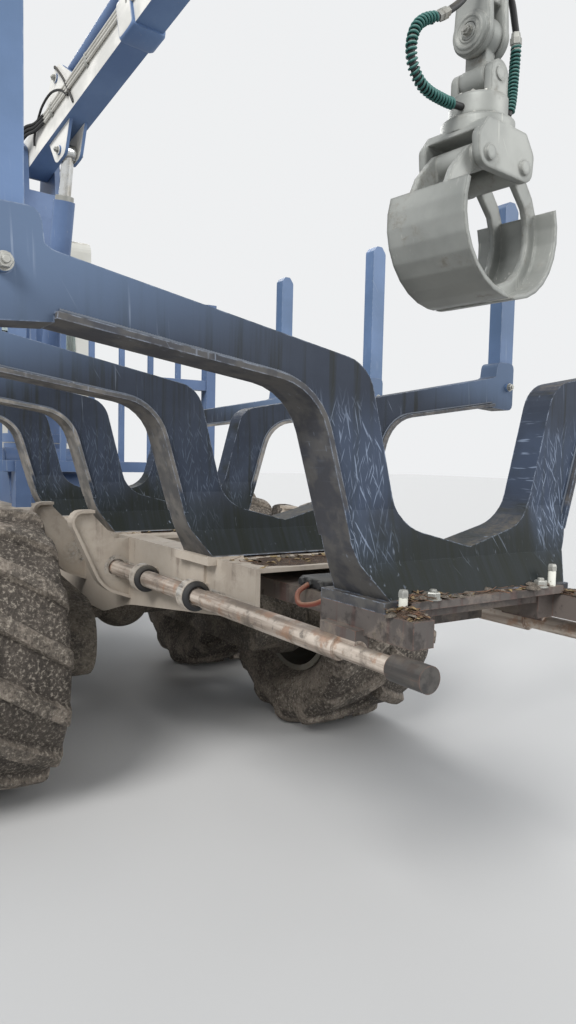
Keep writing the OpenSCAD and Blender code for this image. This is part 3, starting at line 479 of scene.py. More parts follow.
def moulded(name, tone, other, rough=0.62):
    """Grained plastic or rubber with dust in its grain."""
    net = Net(name)
    dusty = net.times(net.remap(net.noise(4, 6), 0.4, 0.65), net.remap(net.facing_up(), -0.2, 0.9))
    net.bump(net.noise(120, 4), 0.18, 0.002)
    rough = net.math("ADD", net.times(dusty, 0.2), rough, clamp=True)
    return net.finish(net.two_tone(dusty, tone, other), rough)


def seat_cloth(name):
    """Woven seat cover: two crossed waves make the weave."""
    net = Net(name, Sheen_Weight=0.3)
    waves = []
    for direction in ("Y", "Z"):
        wave = net.node("ShaderNodeTexWave", wave_type="BANDS", bands_direction=direction)
        net.put(wave.inputs["Vector"], net.place)
        wave.inputs["Scale"].default_value = 95
        waves.append(wave.outputs["Fac"])
    weave = net.times(*waves)
    net.bump(weave, 0.4, 0.002)
    return net.finish(net.two_tone(weave, "17181a", "3a3c40"), 0.92)


# After its name each worked paint says: paint, faded and bare tones, mud, share of mud, height that
# splashes reach, scratches, chips, roughness.
bunk_paint = worked_paint("bunk_paint", "2b303a", "363c47", "98a2b2", MUD, 0.05, 1.30, 0.45, 0.70, 0.56,
                          under=bunk_layers, shine=0.15)
stake_paint = worked_paint("stake_paint", "516785", "60779a", "a3abb5", MUD, 0.04, 1.35, 0.45, 0.5, 0.45)
# The crane's and the boom's slate is lighter and bluer than the paint alone: partly painted sky glare.
crane_paint = worked_paint("crane_paint", "4d6080", "5b7092", "a3a5a6", MUD, 0.06, 1.5, 0.45, 0.6, 0.45)
boom_paint = worked_paint("boom_paint", "587096", "667fa4", "8f9294", MUD, 0.04, 1.5, 0.45, 0.6, 0.45,
                          under=crane_layers)
frame_finish = worked_paint("frame_finish", "9a8f82", "aca193", "6a6158", "aea497", 0.45, 1.6, 0.2, 0.3, 0.6,
                            under=frame_layers)
carriage_finish = worked_paint("carriage_finish", "4d4845", "5d5550", "6f5145", MUD, 0.16, 1.6, 0.3, 0.8,
                               0.55, dust=0.8, under=carriage_layers)
axle_finish = caked_mud("axle_finish", "4a453f", "6e665b", "2e2f31", 0.4)
rim_finish = worked_paint("rim_finish", "5a5c58", "716f67", "8a8880", MUD, 0.6, 1.6, 0.3, 0.4, 0.55)
tyre_mud = tyre_finish("tyre_mud")
clod_mud = caked_mud("clod_mud", "544d45", "7c7368", "4a3f34", 0.4, 30.0)
cab_finish = worked_paint("cab_finish", "bfbeb7", "b0aea5", "77797a", DRY_MUD, 0.12, 1.9, 0.15, 0.35, 0.42,
                          dust=0.7)
body_finish = worked_paint("body_finish", "4b5c74", "596b84", "9a9b98", DRY_MUD, 0.22, 1.8, 0.25, 0.5, 0.38,
                           dust=0.45)
grapple_finish = worked_paint("grapple_finish", "80827e", "9b9c97", "bcbbb3", MUD, 0.28, 1.5, 0.9, 0.9, 0.5,
                              metallic=0.3, soft=0.022)
step_finish = worked_paint("step_finish", "393b3d", "4a4c4d", "8a8a86", MUD, 0.45, 1.6, 0.4, 0.7, 0.55)
engine_finish = worked_paint("engine_finish", "595a5b", "6b6b69", "85837c", MUD, 0.2, 1.6, 0.1, 0.3, 0.6)
pipe_finish = worked_paint("pipe_finish", "5b4a3f", "6d584a", "8a6a53", MUD, 0.2, 1.6, 0.2, 0.5, 0.7)
rod_finish = bright_rod("rod_finish")
pane = clear_pane("pane")
black_plastic = moulded("black_plastic", "232426", "4c4a45")
lamp_glass = moulded("lamp_glass", "d8d8d2", "b5b2a8", 0.2)
cloth = seat_cloth("cloth")

FINISHES = [
    (frame_finish, "rear_frame front_frame"),
    (axle_finish, "rear_axle front_axle rear_bogies front_bogies"),
    (bunk_paint, "fixed_bunks rear_bunk"),
    (stake_paint, "fixed_stakes rear_stakes"),
    (crane_paint, "headboard crane_base crane_pillar lift_barrel stick_barrel"),
    (carriage_finish, "bunk_carriage"),
    (engine_finish, "engine"),
    (body_finish, "hood bumper fuel_tank"),
    (cab_finish, "cab_shell cab_door"),
    (pane, "cab_glass door_glass"),
    (cloth, "seat"),
    (black_plastic, "fenders work_lamps"),
    (step_finish, "steps"),
    (pipe_finish, "exhaust"),
    (boom_paint, "main_boom stick"),
    (rod_finish, "lift_rod stick_rod"),
    (grapple_finish, "extension tip_link rotator grapple_head jaw_one jaw_two"),
]
finish_of = {name: finish for finish, names in FINISHES for name in names.split()}
for name, solid in nodes.items():
    finish = finish_of.get(name) or (tyre_mud if name.startswith("tyre") else rim_finish)
    solid.data.materials.clear()
    solid.data.materials.append(finish)
print("finishes:", len(bpy.data.materials))

# %% [markdown]
# ## Mesh helpers
# A grid of points becomes a mesh by one array of indices. Most pieces are grids: a profile turned
# round an axis, a circle carried along a path, or one small shape copied to many places.

# %% Mesh helpers


def put_mesh(name, points, faces, body, finish, smooth=True, angle=None, **values):
    """points is (n, 3), faces is (m, k) of indices. The piece rides on a CAD body if one is named.
    Each of values is one number a point, which its finish can read by name."""
    mesh = bpy.data.meshes.new(name)
    points = np.asarray(points, np.float32).reshape(-1, 3)
    faces = np.asarray(faces, np.int32)
    mesh.vertices.add(len(points))
    mesh.vertices.foreach_set("co", points.ravel())
    mesh.loops.add(faces.size)
    mesh.loops.foreach_set("vertex_index", faces.ravel())
    mesh.polygons.add(len(faces))
    mesh.polygons.foreach_set("loop_start", np.arange(0, faces.size, faces.shape[1], dtype=np.int32))
    mesh.polygons.foreach_set("use_smooth", np.full(len(faces), smooth))
    mesh.update(calc_edges=True)
    for key, value in values.items():
        stored = mesh.attributes.new(key, "FLOAT", "POINT")
        stored.data.foreach_set("value", np.asarray(value, np.float32).ravel())
    mesh.validate()
    if angle is not None:
        mesh.set_sharp_from_angle(angle=math.radians(angle))
    mesh.materials.append(finish)
    piece = bpy.data.objects.new(name, mesh)
    scene.collection.objects.link(piece)
    if body:
        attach(piece, body)
    return piece


def grid_faces(rows, columns, close_rows=False, close_columns=False):
    """Quads of a rows by columns grid of points, joined end to end where it closes."""
    i = np.arange(rows if close_rows else rows - 1)[:, None]
    j = np.arange(columns if close_columns else columns - 1)[None, :]
    i2, j2 = (i + 1) % rows, (j + 1) % columns
    corners = [i * columns + j, i * columns + j2, i2 * columns + j2, i2 * columns + j]
    return np.stack(corners, -1).reshape(-1, 4)


def unit(v):
    """Vectors of length 1 with the same directions."""
    v = np.asarray(v, float)
    return v / np.linalg.norm(v, axis=-1, keepdims=True)


def turned(profile, sides, at=(0, 0, 0), axis=(0, 0, 1)):
    """Rows (radius, height) turned round an axis. Returns points and quads; ends are closed on the axis."""
    profile = np.asarray(profile, float)
    axis = unit(axis)
    a = unit(np.cross(axis, (0.31, 0.87, 0.13) if abs(axis[1]) < 0.9 else (1, 0, 0.2)))
    b = np.cross(axis, a)
    t = np.linspace(0, 2 * np.pi, sides, endpoint=False)
    ring = np.cos(t)[:, None] * a + np.sin(t)[:, None] * b
    points = np.asarray(at) + profile[:, None, :1] * ring[None] + profile[:, None, 1:] * axis
    return points.reshape(-1, 3), grid_faces(len(profile), sides, close_columns=True)


def swept(path, radius, sides=10):
    """A round tube along a path: rings stand square to it and share a side vector. Ends close to a point."""
    path = np.asarray(path, float)
    along = unit(np.gradient(path, axis=0))
    mean = unit(along.sum(0) + 1e-9)
    least = np.eye(3)[np.argmin(np.abs(mean))]
    a = unit(np.cross(along, least))
    b = np.cross(along, a)
    t = np.linspace(0, 2 * np.pi, sides, endpoint=False)[None, :, None]
    radius = np.pad(np.broadcast_to(np.asarray(radius, float), len(path)), 1)[:, None, None]
    path, a, b = (np.pad(v, ((1, 1), (0, 0)), mode="edge") for v in (path, a, b))
    rings = path[:, None] + radius * (np.cos(t) * a[:, None] + np.sin(t) * b[:, None])
    return rings.reshape(-1, 3), grid_faces(len(path), sides, close_columns=True)


def curve(corners, count=24):
    """A smooth path through corner points: a Catmull-Rom spline sampled at even steps."""
    p = np.asarray(corners, float)
    p = np.vstack([2 * p[0] - p[1], p, 2 * p[-1] - p[-2]])
    s = np.linspace(0, len(p) - 3 - 1e-6, count)
    k = s.astype(int)
    f = (s - k)[:, None]
    p0, p1, p2, p3 = p[k], p[k + 1], p[k + 2], p[k + 3]
    return 0.5 * (2 * p1 + (p2 - p0) * f + (2 * p0 - 5 * p1 + 4 * p2 - p3) * f ** 2
                  + (3 * p1 - p0 - 3 * p2 + p3) * f ** 3)


def copies(shape, frames):
    """One shape at many places. frames is (n, 4, 3): three axes and a place for each copy."""
    points, faces = shape
    frames = np.asarray(frames, float)
    moved = np.einsum("pk,nkc->npc", points, frames[:, :3]) + frames[:, None, 3]
    shift = (np.arange(len(frames)) * len(points))[:, None, None]
    return moved.reshape(-1, 3), (faces[None] + shift).reshape(-1, faces.shape[1])


def joined(*shapes):
    """Several (points, quads) as one."""
    starts = np.cumsum([0] + [len(p) for p, _ in shapes[:-1]])
    return np.vstack([p for p, _ in shapes]), np.vstack([f + s for (_, f), s in zip(shapes, starts)])


def lumps(points, size, seed):
    """Value noise from -1 to 1: a hash at each corner of a cube lattice, blended smoothly between."""
    q = np.asarray(points, float) / size + 1000
    cell = np.floor(q).astype(np.int64)
    f = q - cell
    f = f * f * (3 - 2 * f)
    total = np.zeros(q.shape[:-1])
    for dx, dy, dz in np.ndindex(2, 2, 2):
        h = (cell[..., 0] + dx) * 73856093 ^ (cell[..., 1] + dy) * 19349663 ^ (cell[..., 2] + dz) * 83492791
        h = (h ^ seed * 2654435761) & 0xFFFFFFF
        h = (h * 1103515245 + 12345) & 0x7FFFFFF
        value = (h >> 7 & 0xFFFF) / 32767.5 - 1
        weight = (f[..., 0] if dx else 1 - f[..., 0]) * (f[..., 1] if dy else 1 - f[..., 1])
        total += value * weight * (f[..., 2] if dz else 1 - f[..., 2])
    return total


print("mesh helpers ready")

# %% [markdown]
# ## Tyres
# A forestry tyre is wide and low, with deep bars set in a chevron, the left row half a pitch from the
# right. The carcass is a profile turned round the axle. The grid's own lines slant with the bars, so
# that their walls are steep and clean. Clay fills the roots of the bars.

# %% Tyres
TYRE_R, TYRE_HALF, BARS, BAR_HEIGHT = 0.6795, 0.354, 15, 0.052
PROFILE = np.array([
    # across, radius, share of the bar's height
    (0.212, 0.3325, 0), (0.228, 0.352, 0), (0.262, 0.378, 0), (0.318, 0.428, 0), (0.349, 0.490, 0),
    (0.347, 0.548, 0.05), (0.334, 0.588, 0.65), (0.322, 0.610, 0.95), (0.295, 0.620, 1), (0.15, 0.6262, 1),
    (0.0, 0.6275, 1),
])
HALF_PITCH = np.array([0, 0.045, 0.09, 0.128, 0.155, 0.182, 0.25, 0.318, 0.345, 0.372, 0.41, 0.455])
PHASES = np.concatenate([HALF_PITCH, HALF_PITCH + 0.5])  # stations within a pitch, as shares of it
BAR_RISE = np.zeros(24)  # how far the bar stands at each station: it straddles the start of the pitch
BAR_RISE[:5] = 1, 1, 1, 0.97, 0.5
BAR_RISE[-4:] = 0.5, 0.97, 1, 1
AXIS_SLANT, ROUND_R = 0.80, 0.65  # pitches from middle to edge; radius at which the clay's noise is laid


def smoothstep(low, high, x):
    """0 below low, 1 above high, and a smooth rise between."""
    t = np.clip((x - low) / (high - low), 0, 1)
    return t * t * (3 - 2 * t)


def tyre_shape(seed, across=70):
    """Points over (station, way across). The stations follow the bars: each pitch has the same 24 angles,
    slanted with the distance from the middle, so a bar's wall always runs along a grid line. The right
    half's bars stand half a pitch later. Bars and clay add to the radius."""
    half = np.vstack([PROFILE, PROFILE[-2::-1] * (-1, 1, 1)])
    length = np.concatenate([[0], np.cumsum(np.hypot(*np.diff(half[:, :2], axis=0).T))])
    even = np.linspace(0, length[-1], across)
    y, r, share = (np.interp(even, length, half[:, i]) for i in range(3))
    pitch = 2 * np.pi / BARS
    base = ((np.arange(BARS)[:, None] + PHASES) * pitch).ravel()[:, None]
    left, later = (np.tile(rise, BARS)[:, None] for rise in (BAR_RISE, np.roll(BAR_RISE, 12)))
    bar = np.where(y >= 0, left, later)
    angle = base + AXIS_SLANT * pitch * np.clip(np.abs(y) / 0.33, 0, 1.1)
    unrolled = np.stack(np.broadcast_arrays(ROUND_R * np.cos(angle), y, ROUND_R * np.sin(angle)), -1)
    clay = lumps(unrolled, 0.09, seed) * 0.6 + lumps(unrolled, 0.035, seed + 1) * 0.4
    grit = lumps(unrolled, 0.016, seed + 2)
    packed = share * (1 - bar) * (0.006 + 0.007 * clay)
    radius = r + BAR_HEIGHT * share * bar + packed + 0.0035 * clay * smoothstep(0.36, 0.45, r) * (1 - share)
    radius = radius - share * bar * (0.0022 * (1 + clay) + 0.0014 * (1 + grit))
    radius = np.minimum(radius, TYRE_R)
    side = np.clip(y * (1 + 0.004 * clay * (r < 0.6)), -TYRE_HALF, TYRE_HALF)
    points = np.stack(np.broadcast_arrays(radius * np.cos(angle), side, radius * np.sin(angle)), -1)
    tread = share > 0.3
    top = np.broadcast_to(np.where(tread, bar, 0.8) + 0.2 * clay * tread, radius.shape)
    return points.reshape(-1, 3), grid_faces(len(base), across, True, True), top


def wheel_centre(name):
    """The middle of a tyre's solid, at the height of the axles."""
    low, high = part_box(name)
    return np.array([(low[0] + high[0]) / 2, (low[1] + high[1]) / 2, AXLE_Z])


def side_of(name):
    """1 for the left wheels, -1 for the right ones."""
    return 1 if name.endswith("left") else -1


TYRES = sorted(n for n in nodes if n.startswith("tyre"))
for seed, name in enumerate(TYRES):
    points, faces, top = tyre_shape(seed * 7 + 3)
    c, s = math.cos(seed * 0.61), math.sin(seed * 0.61)  # each wheel stands turned by its own angle
    points = points @ np.array([[c, 0, s], [0, 1, 0], [-s, 0, c]]).T + wheel_centre(name)
    body = name.replace("tyre", "wheel")
    piece = put_mesh(name + "_skin", points, faces[:, ::-1], body, tyre_mud, angle=38, bar=top)
    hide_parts(name)
print("tyres:", len(TYRES), "points each:", len(points))

# %% [markdown]
# ## Nuts on the carriage and the wheels
# A hexagon nut is a six-sided turned profile with a chamfer, on a washer, with the end of its stud
# showing. One shape serves everywhere: it is copied to rows of places with its axis turned.

# %% Nuts


def nut_shape(across_flats):
    """A washer, a hexagon with a chamfered top, and the stud's end, on +Z from the origin."""
    r = across_flats / 2 / math.cos(math.pi / 6)
    h = across_flats * 0.55
    washer = turned([(0, 0), (r * 1.18, 0), (r * 1.18, h * 0.16), (0, h * 0.16)], 18)
    hexagon = turned([(0, h * 0.16), (r, h * 0.16), (r, h * 0.95), (r * 0.90, h * 1.1), (0, h * 1.1)], 6)
    stud = turned([(0, h * 1.1), (r * 0.52, h * 1.1), (r * 0.52, h * 1.38), (r * 0.42, h * 1.5),
                   (0, h * 1.5)], 12)
    return joined(washer, hexagon, stud)


def axes_for(direction, place, spin=0.0):
    """Rows for copies(): two side axes, the direction, and the place."""
    d = unit(direction)
    a = unit(np.cross(d, (0.2, 0.3, 0.93) if abs(d[2]) < 0.9 else (1, 0, 0)))
    b = np.cross(d, a)
    c, s = math.cos(spin), math.sin(spin)
    return np.stack([c * a + s * b, c * b - s * a, d, np.asarray(place, float)])


nut_steel = worked_paint("nut_steel", "8d8d88", "a5a49d", "c9c8c2", MUD, 0.25, 1.4, 0.3, 0.6, 0.4,
                         metallic=0.6)
places = [(x, side * y) for x, y in ((-4.855, 0.305), (-4.650, 0.305), (-4.914, 0.235)) for side in (-1, 1)]
frames = [axes_for((0, 0, 1), (x, y, FOOT_TOP), i * 0.7) for i, (x, y) in enumerate(places)]
piece = put_mesh("carriage_nuts", *copies(nut_shape(0.036), frames), "carriage", nut_steel, False)
pale_zinc = worked_paint("pale_zinc", "c4c3b8", "d6d5cb", "8d8a80", MUD, 0.12, 1.1, 0.2, 0.4, 0.5)
SLEEVE = turned([(0, 0), (0.0125, 0), (0.0125, 0.046), (0.0112, 0.050), (0.0112, 0.055), (0.0095, 0.057),
                 (0, 0.057)], 20)
CAP = turned([(0, 0.050), (0.0150, 0.050), (0.0150, 0.063), (0.0125, 0.070), (0, 0.072)], 6)
frames = [axes_for((0, 0, 1), place) for place in ((-4.925, 0.358, TAIL_TOP), (-4.914, -0.290, FOOT_TOP))]
piece = put_mesh("guide_sleeves", *copies(SLEEVE, frames), "carriage", pale_zinc, angle=40)
piece = put_mesh("sleeve_caps", *copies(CAP, frames), "carriage", nut_steel, False)
print("nuts:", len(places), "sleeves:", len(frames))

# %% [markdown]
# ## Hubs and bolts
# A planetary hub sits in each rim: a stepped cap with a ring of bolts, and a ring of wheel nuts on the
# disc. The bogie cases carry bolted covers. On the real machine these are castings with set screws.

# %% Hubs, wheel nuts and bogie covers


def bolt_ring(count, ring_radius, across_flats, spin=0.0):
    """Nuts on a circle in the plane of the origin, pointing along +Z."""
    t = np.linspace(0, 2 * np.pi, count, endpoint=False) + spin
    where = np.stack([ring_radius * np.cos(t), ring_radius * np.sin(t), 0 * t], -1)
    return copies(nut_shape(across_flats), [axes_for((0, 0, 1), p, a) for p, a in zip(where, t)])


HUB_CAP = turned([(0.148, -0.004), (0.148, 0.014), (0.139, 0.020), (0.135, 0.052), (0.126, 0.060),
                  (0.092, 0.064), (0.086, 0.078), (0.070, 0.088), (0.026, 0.091), (0.022, 0.099),
                  (0, 0.100)], 36)
CAP_OUT, NUTS_OUT = 0.090, 0.044  # how far they sit from the wheel's middle
COVER_Y = 0.765  # the outer face of the bogie cases
cap_bolts = bolt_ring(12, 0.110, 0.015)
cap_bolts = (cap_bolts[0] + (0, 0, 0.062), cap_bolts[1])
wheel_nuts = bolt_ring(12, 0.198, 0.030)
for name in TYRES:
    side, at = side_of(name), wheel_centre(name)
    cap = copies(joined(HUB_CAP, cap_bolts), [axes_for((0, side, 0), at + (0, side * CAP_OUT, 0))])
    nuts = copies(wheel_nuts, [axes_for((0, side, 0), at + (0, side * NUTS_OUT, 0))])
    piece = put_mesh(name.replace("tyre", "hub"), *joined(cap, nuts), name.replace("tyre", "wheel"),
                     rim_finish, angle=35)

cover_bolts = bolt_ring(16, 0.204, 0.020)
for body, near in (("rear", "12"), ("front", "34")):
    frames = [axes_for((0, side_of(name), 0), (wheel_centre(name)[0], side_of(name) * COVER_Y, AXLE_Z))
              for name in TYRES if name[5] in near]
    piece = put_mesh(body + "_cover_bolts", *copies(cover_bolts, frames), body, axle_finish, False)
print("hubs:", len(TYRES))

# %% [markdown]
# ## Seal lips and weld beads
# Each ring that holds a guide tube has a dark rubber lip on both faces, which wipes clay off the tube.
# The bunks are welded from a web and a bent flange: a bead is a tube whose radius ripples with the
# welder's strokes, carried along the bunk's lower edge.

# %% Seals and welds


def rounded_line(rows, count=8):
    """Corner points (a, b, radius) as a line with arcs at its corners."""
    rows = np.asarray(rows, float)
    line = [rows[:1, :2]]
    for before, here, after in zip(rows, rows[1:], rows[2:]):
        u, v = unit(before[:2] - here[:2]), unit(after[:2] - here[:2])
        half = math.acos(np.clip(u @ v, -1, 1)) / 2
        middle = here[:2] + unit(u + v) * here[2] / math.sin(half)
        p, q = here[:2] + u * here[2] / math.tan(half), here[:2] + v * here[2] / math.tan(half)
        s = np.linspace(0, 1, count)[:, None]
        line.append(middle + unit((p - middle) * (1 - s) + (q - middle) * s) * here[2])
    return np.vstack(line + [rows[-1:, :2]])


def even_line(line, step):
    """The same line with points at even steps."""
    length = np.concatenate([[0], np.cumsum(np.linalg.norm(np.diff(line, axis=0), axis=1))])
    at = np.arange(0, length[-1], step)
    return np.stack([np.interp(at, length, line[:, k]) for k in range(line.shape[1])], -1)


def weld(line, radius, seed):
    """A bead along a line in space: its radius ripples every 7 mm and wanders a little."""
    path = even_line(np.asarray(line, float), 0.0035)
    ripple = 1 + 0.16 * np.cos(np.arange(len(path)) * np.pi) + 0.12 * lumps(path, 0.03, seed)
    return swept(path, radius * ripple, 6)


LIP = turned([(0.0372, 0.0), (0.060, 0.0), (0.060, 0.006), (0.052, 0.012), (0.046, 0.016), (0.0385, 0.017),
              (0.0372, 0.014)], 32)
rubber = moulded("rubber", "1d1d1e", "57524a", 0.7)
RING_XS, RING_HALF = (-3.772, -3.287), 0.026
frames = [axes_for((way, 0, 0), (x + way * RING_HALF, y, TUBE_Z))
          for x in RING_XS for way in (-1, 1) for y in (-TUBE_Y, TUBE_Y)]
piece = put_mesh("ring_lips", *copies(LIP, frames), "rear", rubber)

LOWER_EDGE = [(0.372, 1.232, 0), (0.440, 1.350, 0.26), (0.580, 1.816, 0.195), (1.275, 1.921, 0)]
BEAD_X, BEAD_RISE, BEAD_R = 0.057, 0.0065, 0.0048  # from the web's middle plane; above the edge; radius
edge = even_line(rounded_line(LOWER_EDGE), 0.01)
slope = unit(np.gradient(edge, axis=0))
edge = edge + np.stack([-slope[:, 1], slope[:, 0]], -1) * BEAD_RISE
weld_steel = worked_paint("weld_steel", "444b56", "595f68", "9a9c9d", MUD, 0.25, 1.35, 0.4, 0.6, 0.5)


def bunk_welds(x):
    """Four beads: both sides of the web, left and right."""
    beads = []
    for k, (dx, side) in enumerate([(-BEAD_X, 1), (-BEAD_X, -1), (BEAD_X, 1), (BEAD_X, -1)]):
        line = np.stack([np.full(len(edge), x + dx), side * edge[:, 0], edge[:, 1]], -1)
        beads.append(weld(line, BEAD_R, k + 5))
    return joined(*beads)


piece = put_mesh("rear_bunk_welds", *bunk_welds(REAR_BUNK_X), "carriage", weld_steel)
welds = joined(*(bunk_welds(REAR_BUNK_X + BUNK_PITCH * i) for i in range(1, BUNKS)))
piece = put_mesh("fixed_bunk_welds", *welds, "rear", weld_steel)
print("weld points:", len(piece.data.vertices))

# %% [markdown]
# ## Forest litter
# Bark, needles, leaves and lumps of clay lie where the carriage is flat. A leaf is a small grid with
# a rounded outline and a curl; a twig is a thin bent tube; a clod is a dome with lumps. They lie on
# low heaps of rotten needles, which are height fields, scattered with a fixed seed.

# %% Litter


def leaf_shape(curl):
    """Length u from 0 to 1, width v from -1 to 1: the half width is a power of sin(pi u)."""
    u, v = np.meshgrid(np.linspace(0, 1, 7), np.linspace(-1, 1, 5), indexing="ij")
    half = 0.34 * np.sin(np.pi * u) ** 0.8
    z = curl * v ** 2 * np.sin(np.pi * u) * 0.3 + 0.12 * np.sin(2.6 * u) + 0.05
    return np.stack([u - 0.5, half * v, z], -1).reshape(-1, 3), grid_faces(7, 5)


def twig_shape(seed):
    """A bent stick of length 1 whose radius tapers."""
    s = np.linspace(0, 1, 8)
    wave = np.random.default_rng(seed).uniform(-0.06, 0.06, (4, 2))
    bend = np.stack([np.interp(s, np.linspace(0, 1, 4), wave[:, k]) for k in (0, 1)], -1)
    path = np.stack([s - 0.5, bend[:, 0], 0.035 + np.abs(bend[:, 1]) * 0.5], -1)
    return swept(path, 0.020 * (1.15 - 0.6 * s), 5)


def clod_shape(seed):
    """A low dome over (angle, way up) with lumps on its radius."""
    a, w = np.meshgrid(np.linspace(0, 2 * np.pi, 14, endpoint=False), np.linspace(0, 1, 7), indexing="ij")
    rise = np.sin(w * np.pi / 2)
    ring = np.cos(w * np.pi / 2)
    p = np.stack([ring * np.cos(a), ring * np.sin(a), rise * 0.5], -1)
    p = p * (1 + 0.28 * lumps(p + seed, 0.5, seed))[..., None]
    p[..., 2] -= 0.04
    return p.reshape(-1, 3), grid_faces(14, 7, close_rows=True)


def heap_height(u, v, rise):
    """Height of a heap over its patch, with u and v from -1 to 1: flat in the middle, nothing at the rim."""
    return rise * (1 - np.abs(u) ** 3) * (1 - np.abs(v) ** 3)


def heap(patch, rise, seed):
    """A heap over a patch (x0, x1, y0, y1, z): heap_height with lumps, its rim sunk a little."""
    x0, x1, y0, y1, z = patch
    count = [max(6, int((b - a) / 0.012)) for a, b in ((x0, x1), (y0, y1))]
    u, v = np.meshgrid(np.linspace(-1, 1, count[0]), np.linspace(-1, 1, count[1]), indexing="ij")
    p = np.stack([(x0 + x1) / 2 + u * (x1 - x0) / 2, (y0 + y1) / 2 + v * (y1 - y0) / 2, 0 * u], -1)
    p[..., 2] = z - 0.002 + heap_height(u, v, rise) * (0.75 + 0.45 * lumps(p, 0.03, seed))
    return p.reshape(-1, 3), grid_faces(*count)


def scatter(rng, count, patch, size, rise):
    """Rows for copies(): random places and turns on a patch's heap, tipped a little."""
    x0, x1, y0, y1, z = patch
    u, v = rng.uniform(-1, 1, count), rng.uniform(-1, 1, count)
    a, tip = rng.uniform(0, 2 * np.pi, count), rng.uniform(-0.35, 0.35, count)
    s = rng.uniform(*size, count)
    place = np.stack([(x0 + x1) / 2 + u * (x1 - x0) / 2, (y0 + y1) / 2 + v * (y1 - y0) / 2,
                      z + heap_height(u, v, rise) * 0.85], -1)
    first = np.stack([np.cos(a) * np.cos(tip), np.sin(a) * np.cos(tip), np.sin(tip)], -1) * s[:, None]
    second = np.stack([-np.sin(a), np.cos(a), 0 * a], -1) * s[:, None]
    return np.stack([first, second, np.cross(first, second) / s[:, None], place], 1)


PATCHES = [
    # body, patch, rise of its heap, leaves, twigs, clods
    ("carriage", (-5.010, -4.900, 0.330, 0.396, TAIL_TOP), 0.024, 26, 40, 14),
    ("carriage", (-4.928, -4.806, 0.150, 0.345, FOOT_TOP), 0.016, 34, 54, 14),
    ("carriage", (-4.928, -4.812, -0.150, 0.150, FOOT_TOP), 0.007, 20, 44, 8),
    ("carriage", (-4.928, -4.812, -0.330, -0.150, FOOT_TOP), 0.010, 14, 30, 8),
    ("carriage", (-5.010, -4.900, -0.396, -0.330, TAIL_TOP), 0.014, 10, 16, 8),
    ("carriage", (-4.688, -4.606, -0.340, 0.340, FOOT_TOP), 0.006, 16, 30, 6),
    ("rear", (-4.140, -3.870, -0.330, 0.330, FRAME_TOP), 0.008, 30, 60, 10),
    ("rear", (-3.555, -3.530, -0.330, 0.330, FRAME_TOP), 0.004, 4, 8, 2),
    ("rear", (-2.850, -2.550, -0.330, 0.330, FRAME_TOP), 0.008, 30, 60, 10),
    ("rear", (-1.800, -1.450, -0.330, 0.330, FRAME_TOP), 0.008, 30, 60, 10),
]
dead_leaf = worked_paint("dead_leaf", "6e4f3b", "93805a", "a8977a", "5f5444", 0.2, 0.1, 0.2, 0.1, 0.8)
twig_bark = worked_paint("twig_bark", "513a2d", "7a5a46", "9c8468", "4c4238", 0.2, 0.1, 0.3, 0.1, 0.85)
humus = caked_mud("humus", "3d3029", "5d4a3c", "7a6a50", 0.5, 40.0)
KINDS = [
    # name, finish, shapes, least and greatest size
    ("leaves", dead_leaf, (leaf_shape(0.7), leaf_shape(-0.5)), (0.016, 0.034)),
    ("twigs", twig_bark, (twig_shape(1), twig_shape(2)), (0.022, 0.070)),
    ("clods", clod_mud, (clod_shape(3), clod_shape(4)), (0.008, 0.020)),
]
rng = np.random.default_rng(41)
litter = {}
for number, (body, patch, rise, *counts) in enumerate(PATCHES):
    litter.setdefault((body, "heaps", humus), []).append(heap(patch, rise, number + 60))
    for (kind, finish, shapes, size), count in zip(KINDS, counts):
        for shape in shapes:
            rows = scatter(rng, count // len(shapes), patch, size, rise)
            litter.setdefault((body, kind, finish), []).append(copies(shape, rows))
for (body, kind, finish), pieces in litter.items():
    put_mesh(f"{body}_{kind}", *joined(*pieces), body, finish)
print("litter patches:", len(PATCHES))

# %% [markdown]
# ## Hoses and pipes of the crane
# Oil runs up the pillar, along the boom in three steel pipes, round the knee in hoses and down to the
# grapple's rotator. Pipes are held by clamps. A hose that crosses a joint rides on neither body. The loops at
# the tip meet at a coupling and wear a plastic spiral below it.

# %% Crane places
SLEW, RISE = math.radians(186.5), math.radians(13.5)
PIN_Z, BOOM_LEN, STICK_LEN = 3.953, 4.479, 1.764
KNEE_H, KNEE_Z = BOOM_LEN * math.cos(RISE), PIN_Z + BOOM_LEN * math.sin(RISE)


def crane(h, s, z):
    """A place in the crane's upright plane: h out from the slewing axis, s sideways, z up."""
    h, s, z = np.broadcast_arrays(*(np.asarray(v, float) for v in (h, s, z)))
    return np.stack([h * math.cos(SLEW) - s * math.sin(SLEW), h * math.sin(SLEW) + s * math.cos(SLEW), z], -1)


def on_boom(a, s, n):
    """A place on the main boom: a along it from its pin, s sideways, n above its centreline."""
    a, n = np.asarray(a, float), np.asarray(n, float)
    return crane(a * math.cos(RISE) - n * math.sin(RISE), s, PIN_Z + a * math.sin(RISE) + n * math.cos(RISE))


def on_stick(a, s, n):
    """A place on the hanging stick: a down from the knee, s sideways, n outwards."""
    return crane(KNEE_H + np.asarray(n, float), s, KNEE_Z - np.asarray(a, float))


def at_tip(h, s, z):
    """A place measured from the tip pin."""
    return crane(KNEE_H + np.asarray(h, float), s, KNEE_Z - STICK_LEN + np.asarray(z, float))


hose_rubber = moulded("hose_rubber", "19191a", "4f4a42", 0.55)
guard_plastic = moulded("guard_plastic", "2c5f59", "6c8a80", 0.5)
red_rubber = moulded("red_rubber", "74392b", "8a6650", 0.6)
COIL_PITCH, COIL_OUT, COIL_R = 0.017, 0.0035, 0.0048  # the spiral: its pitch, stand-off and radius


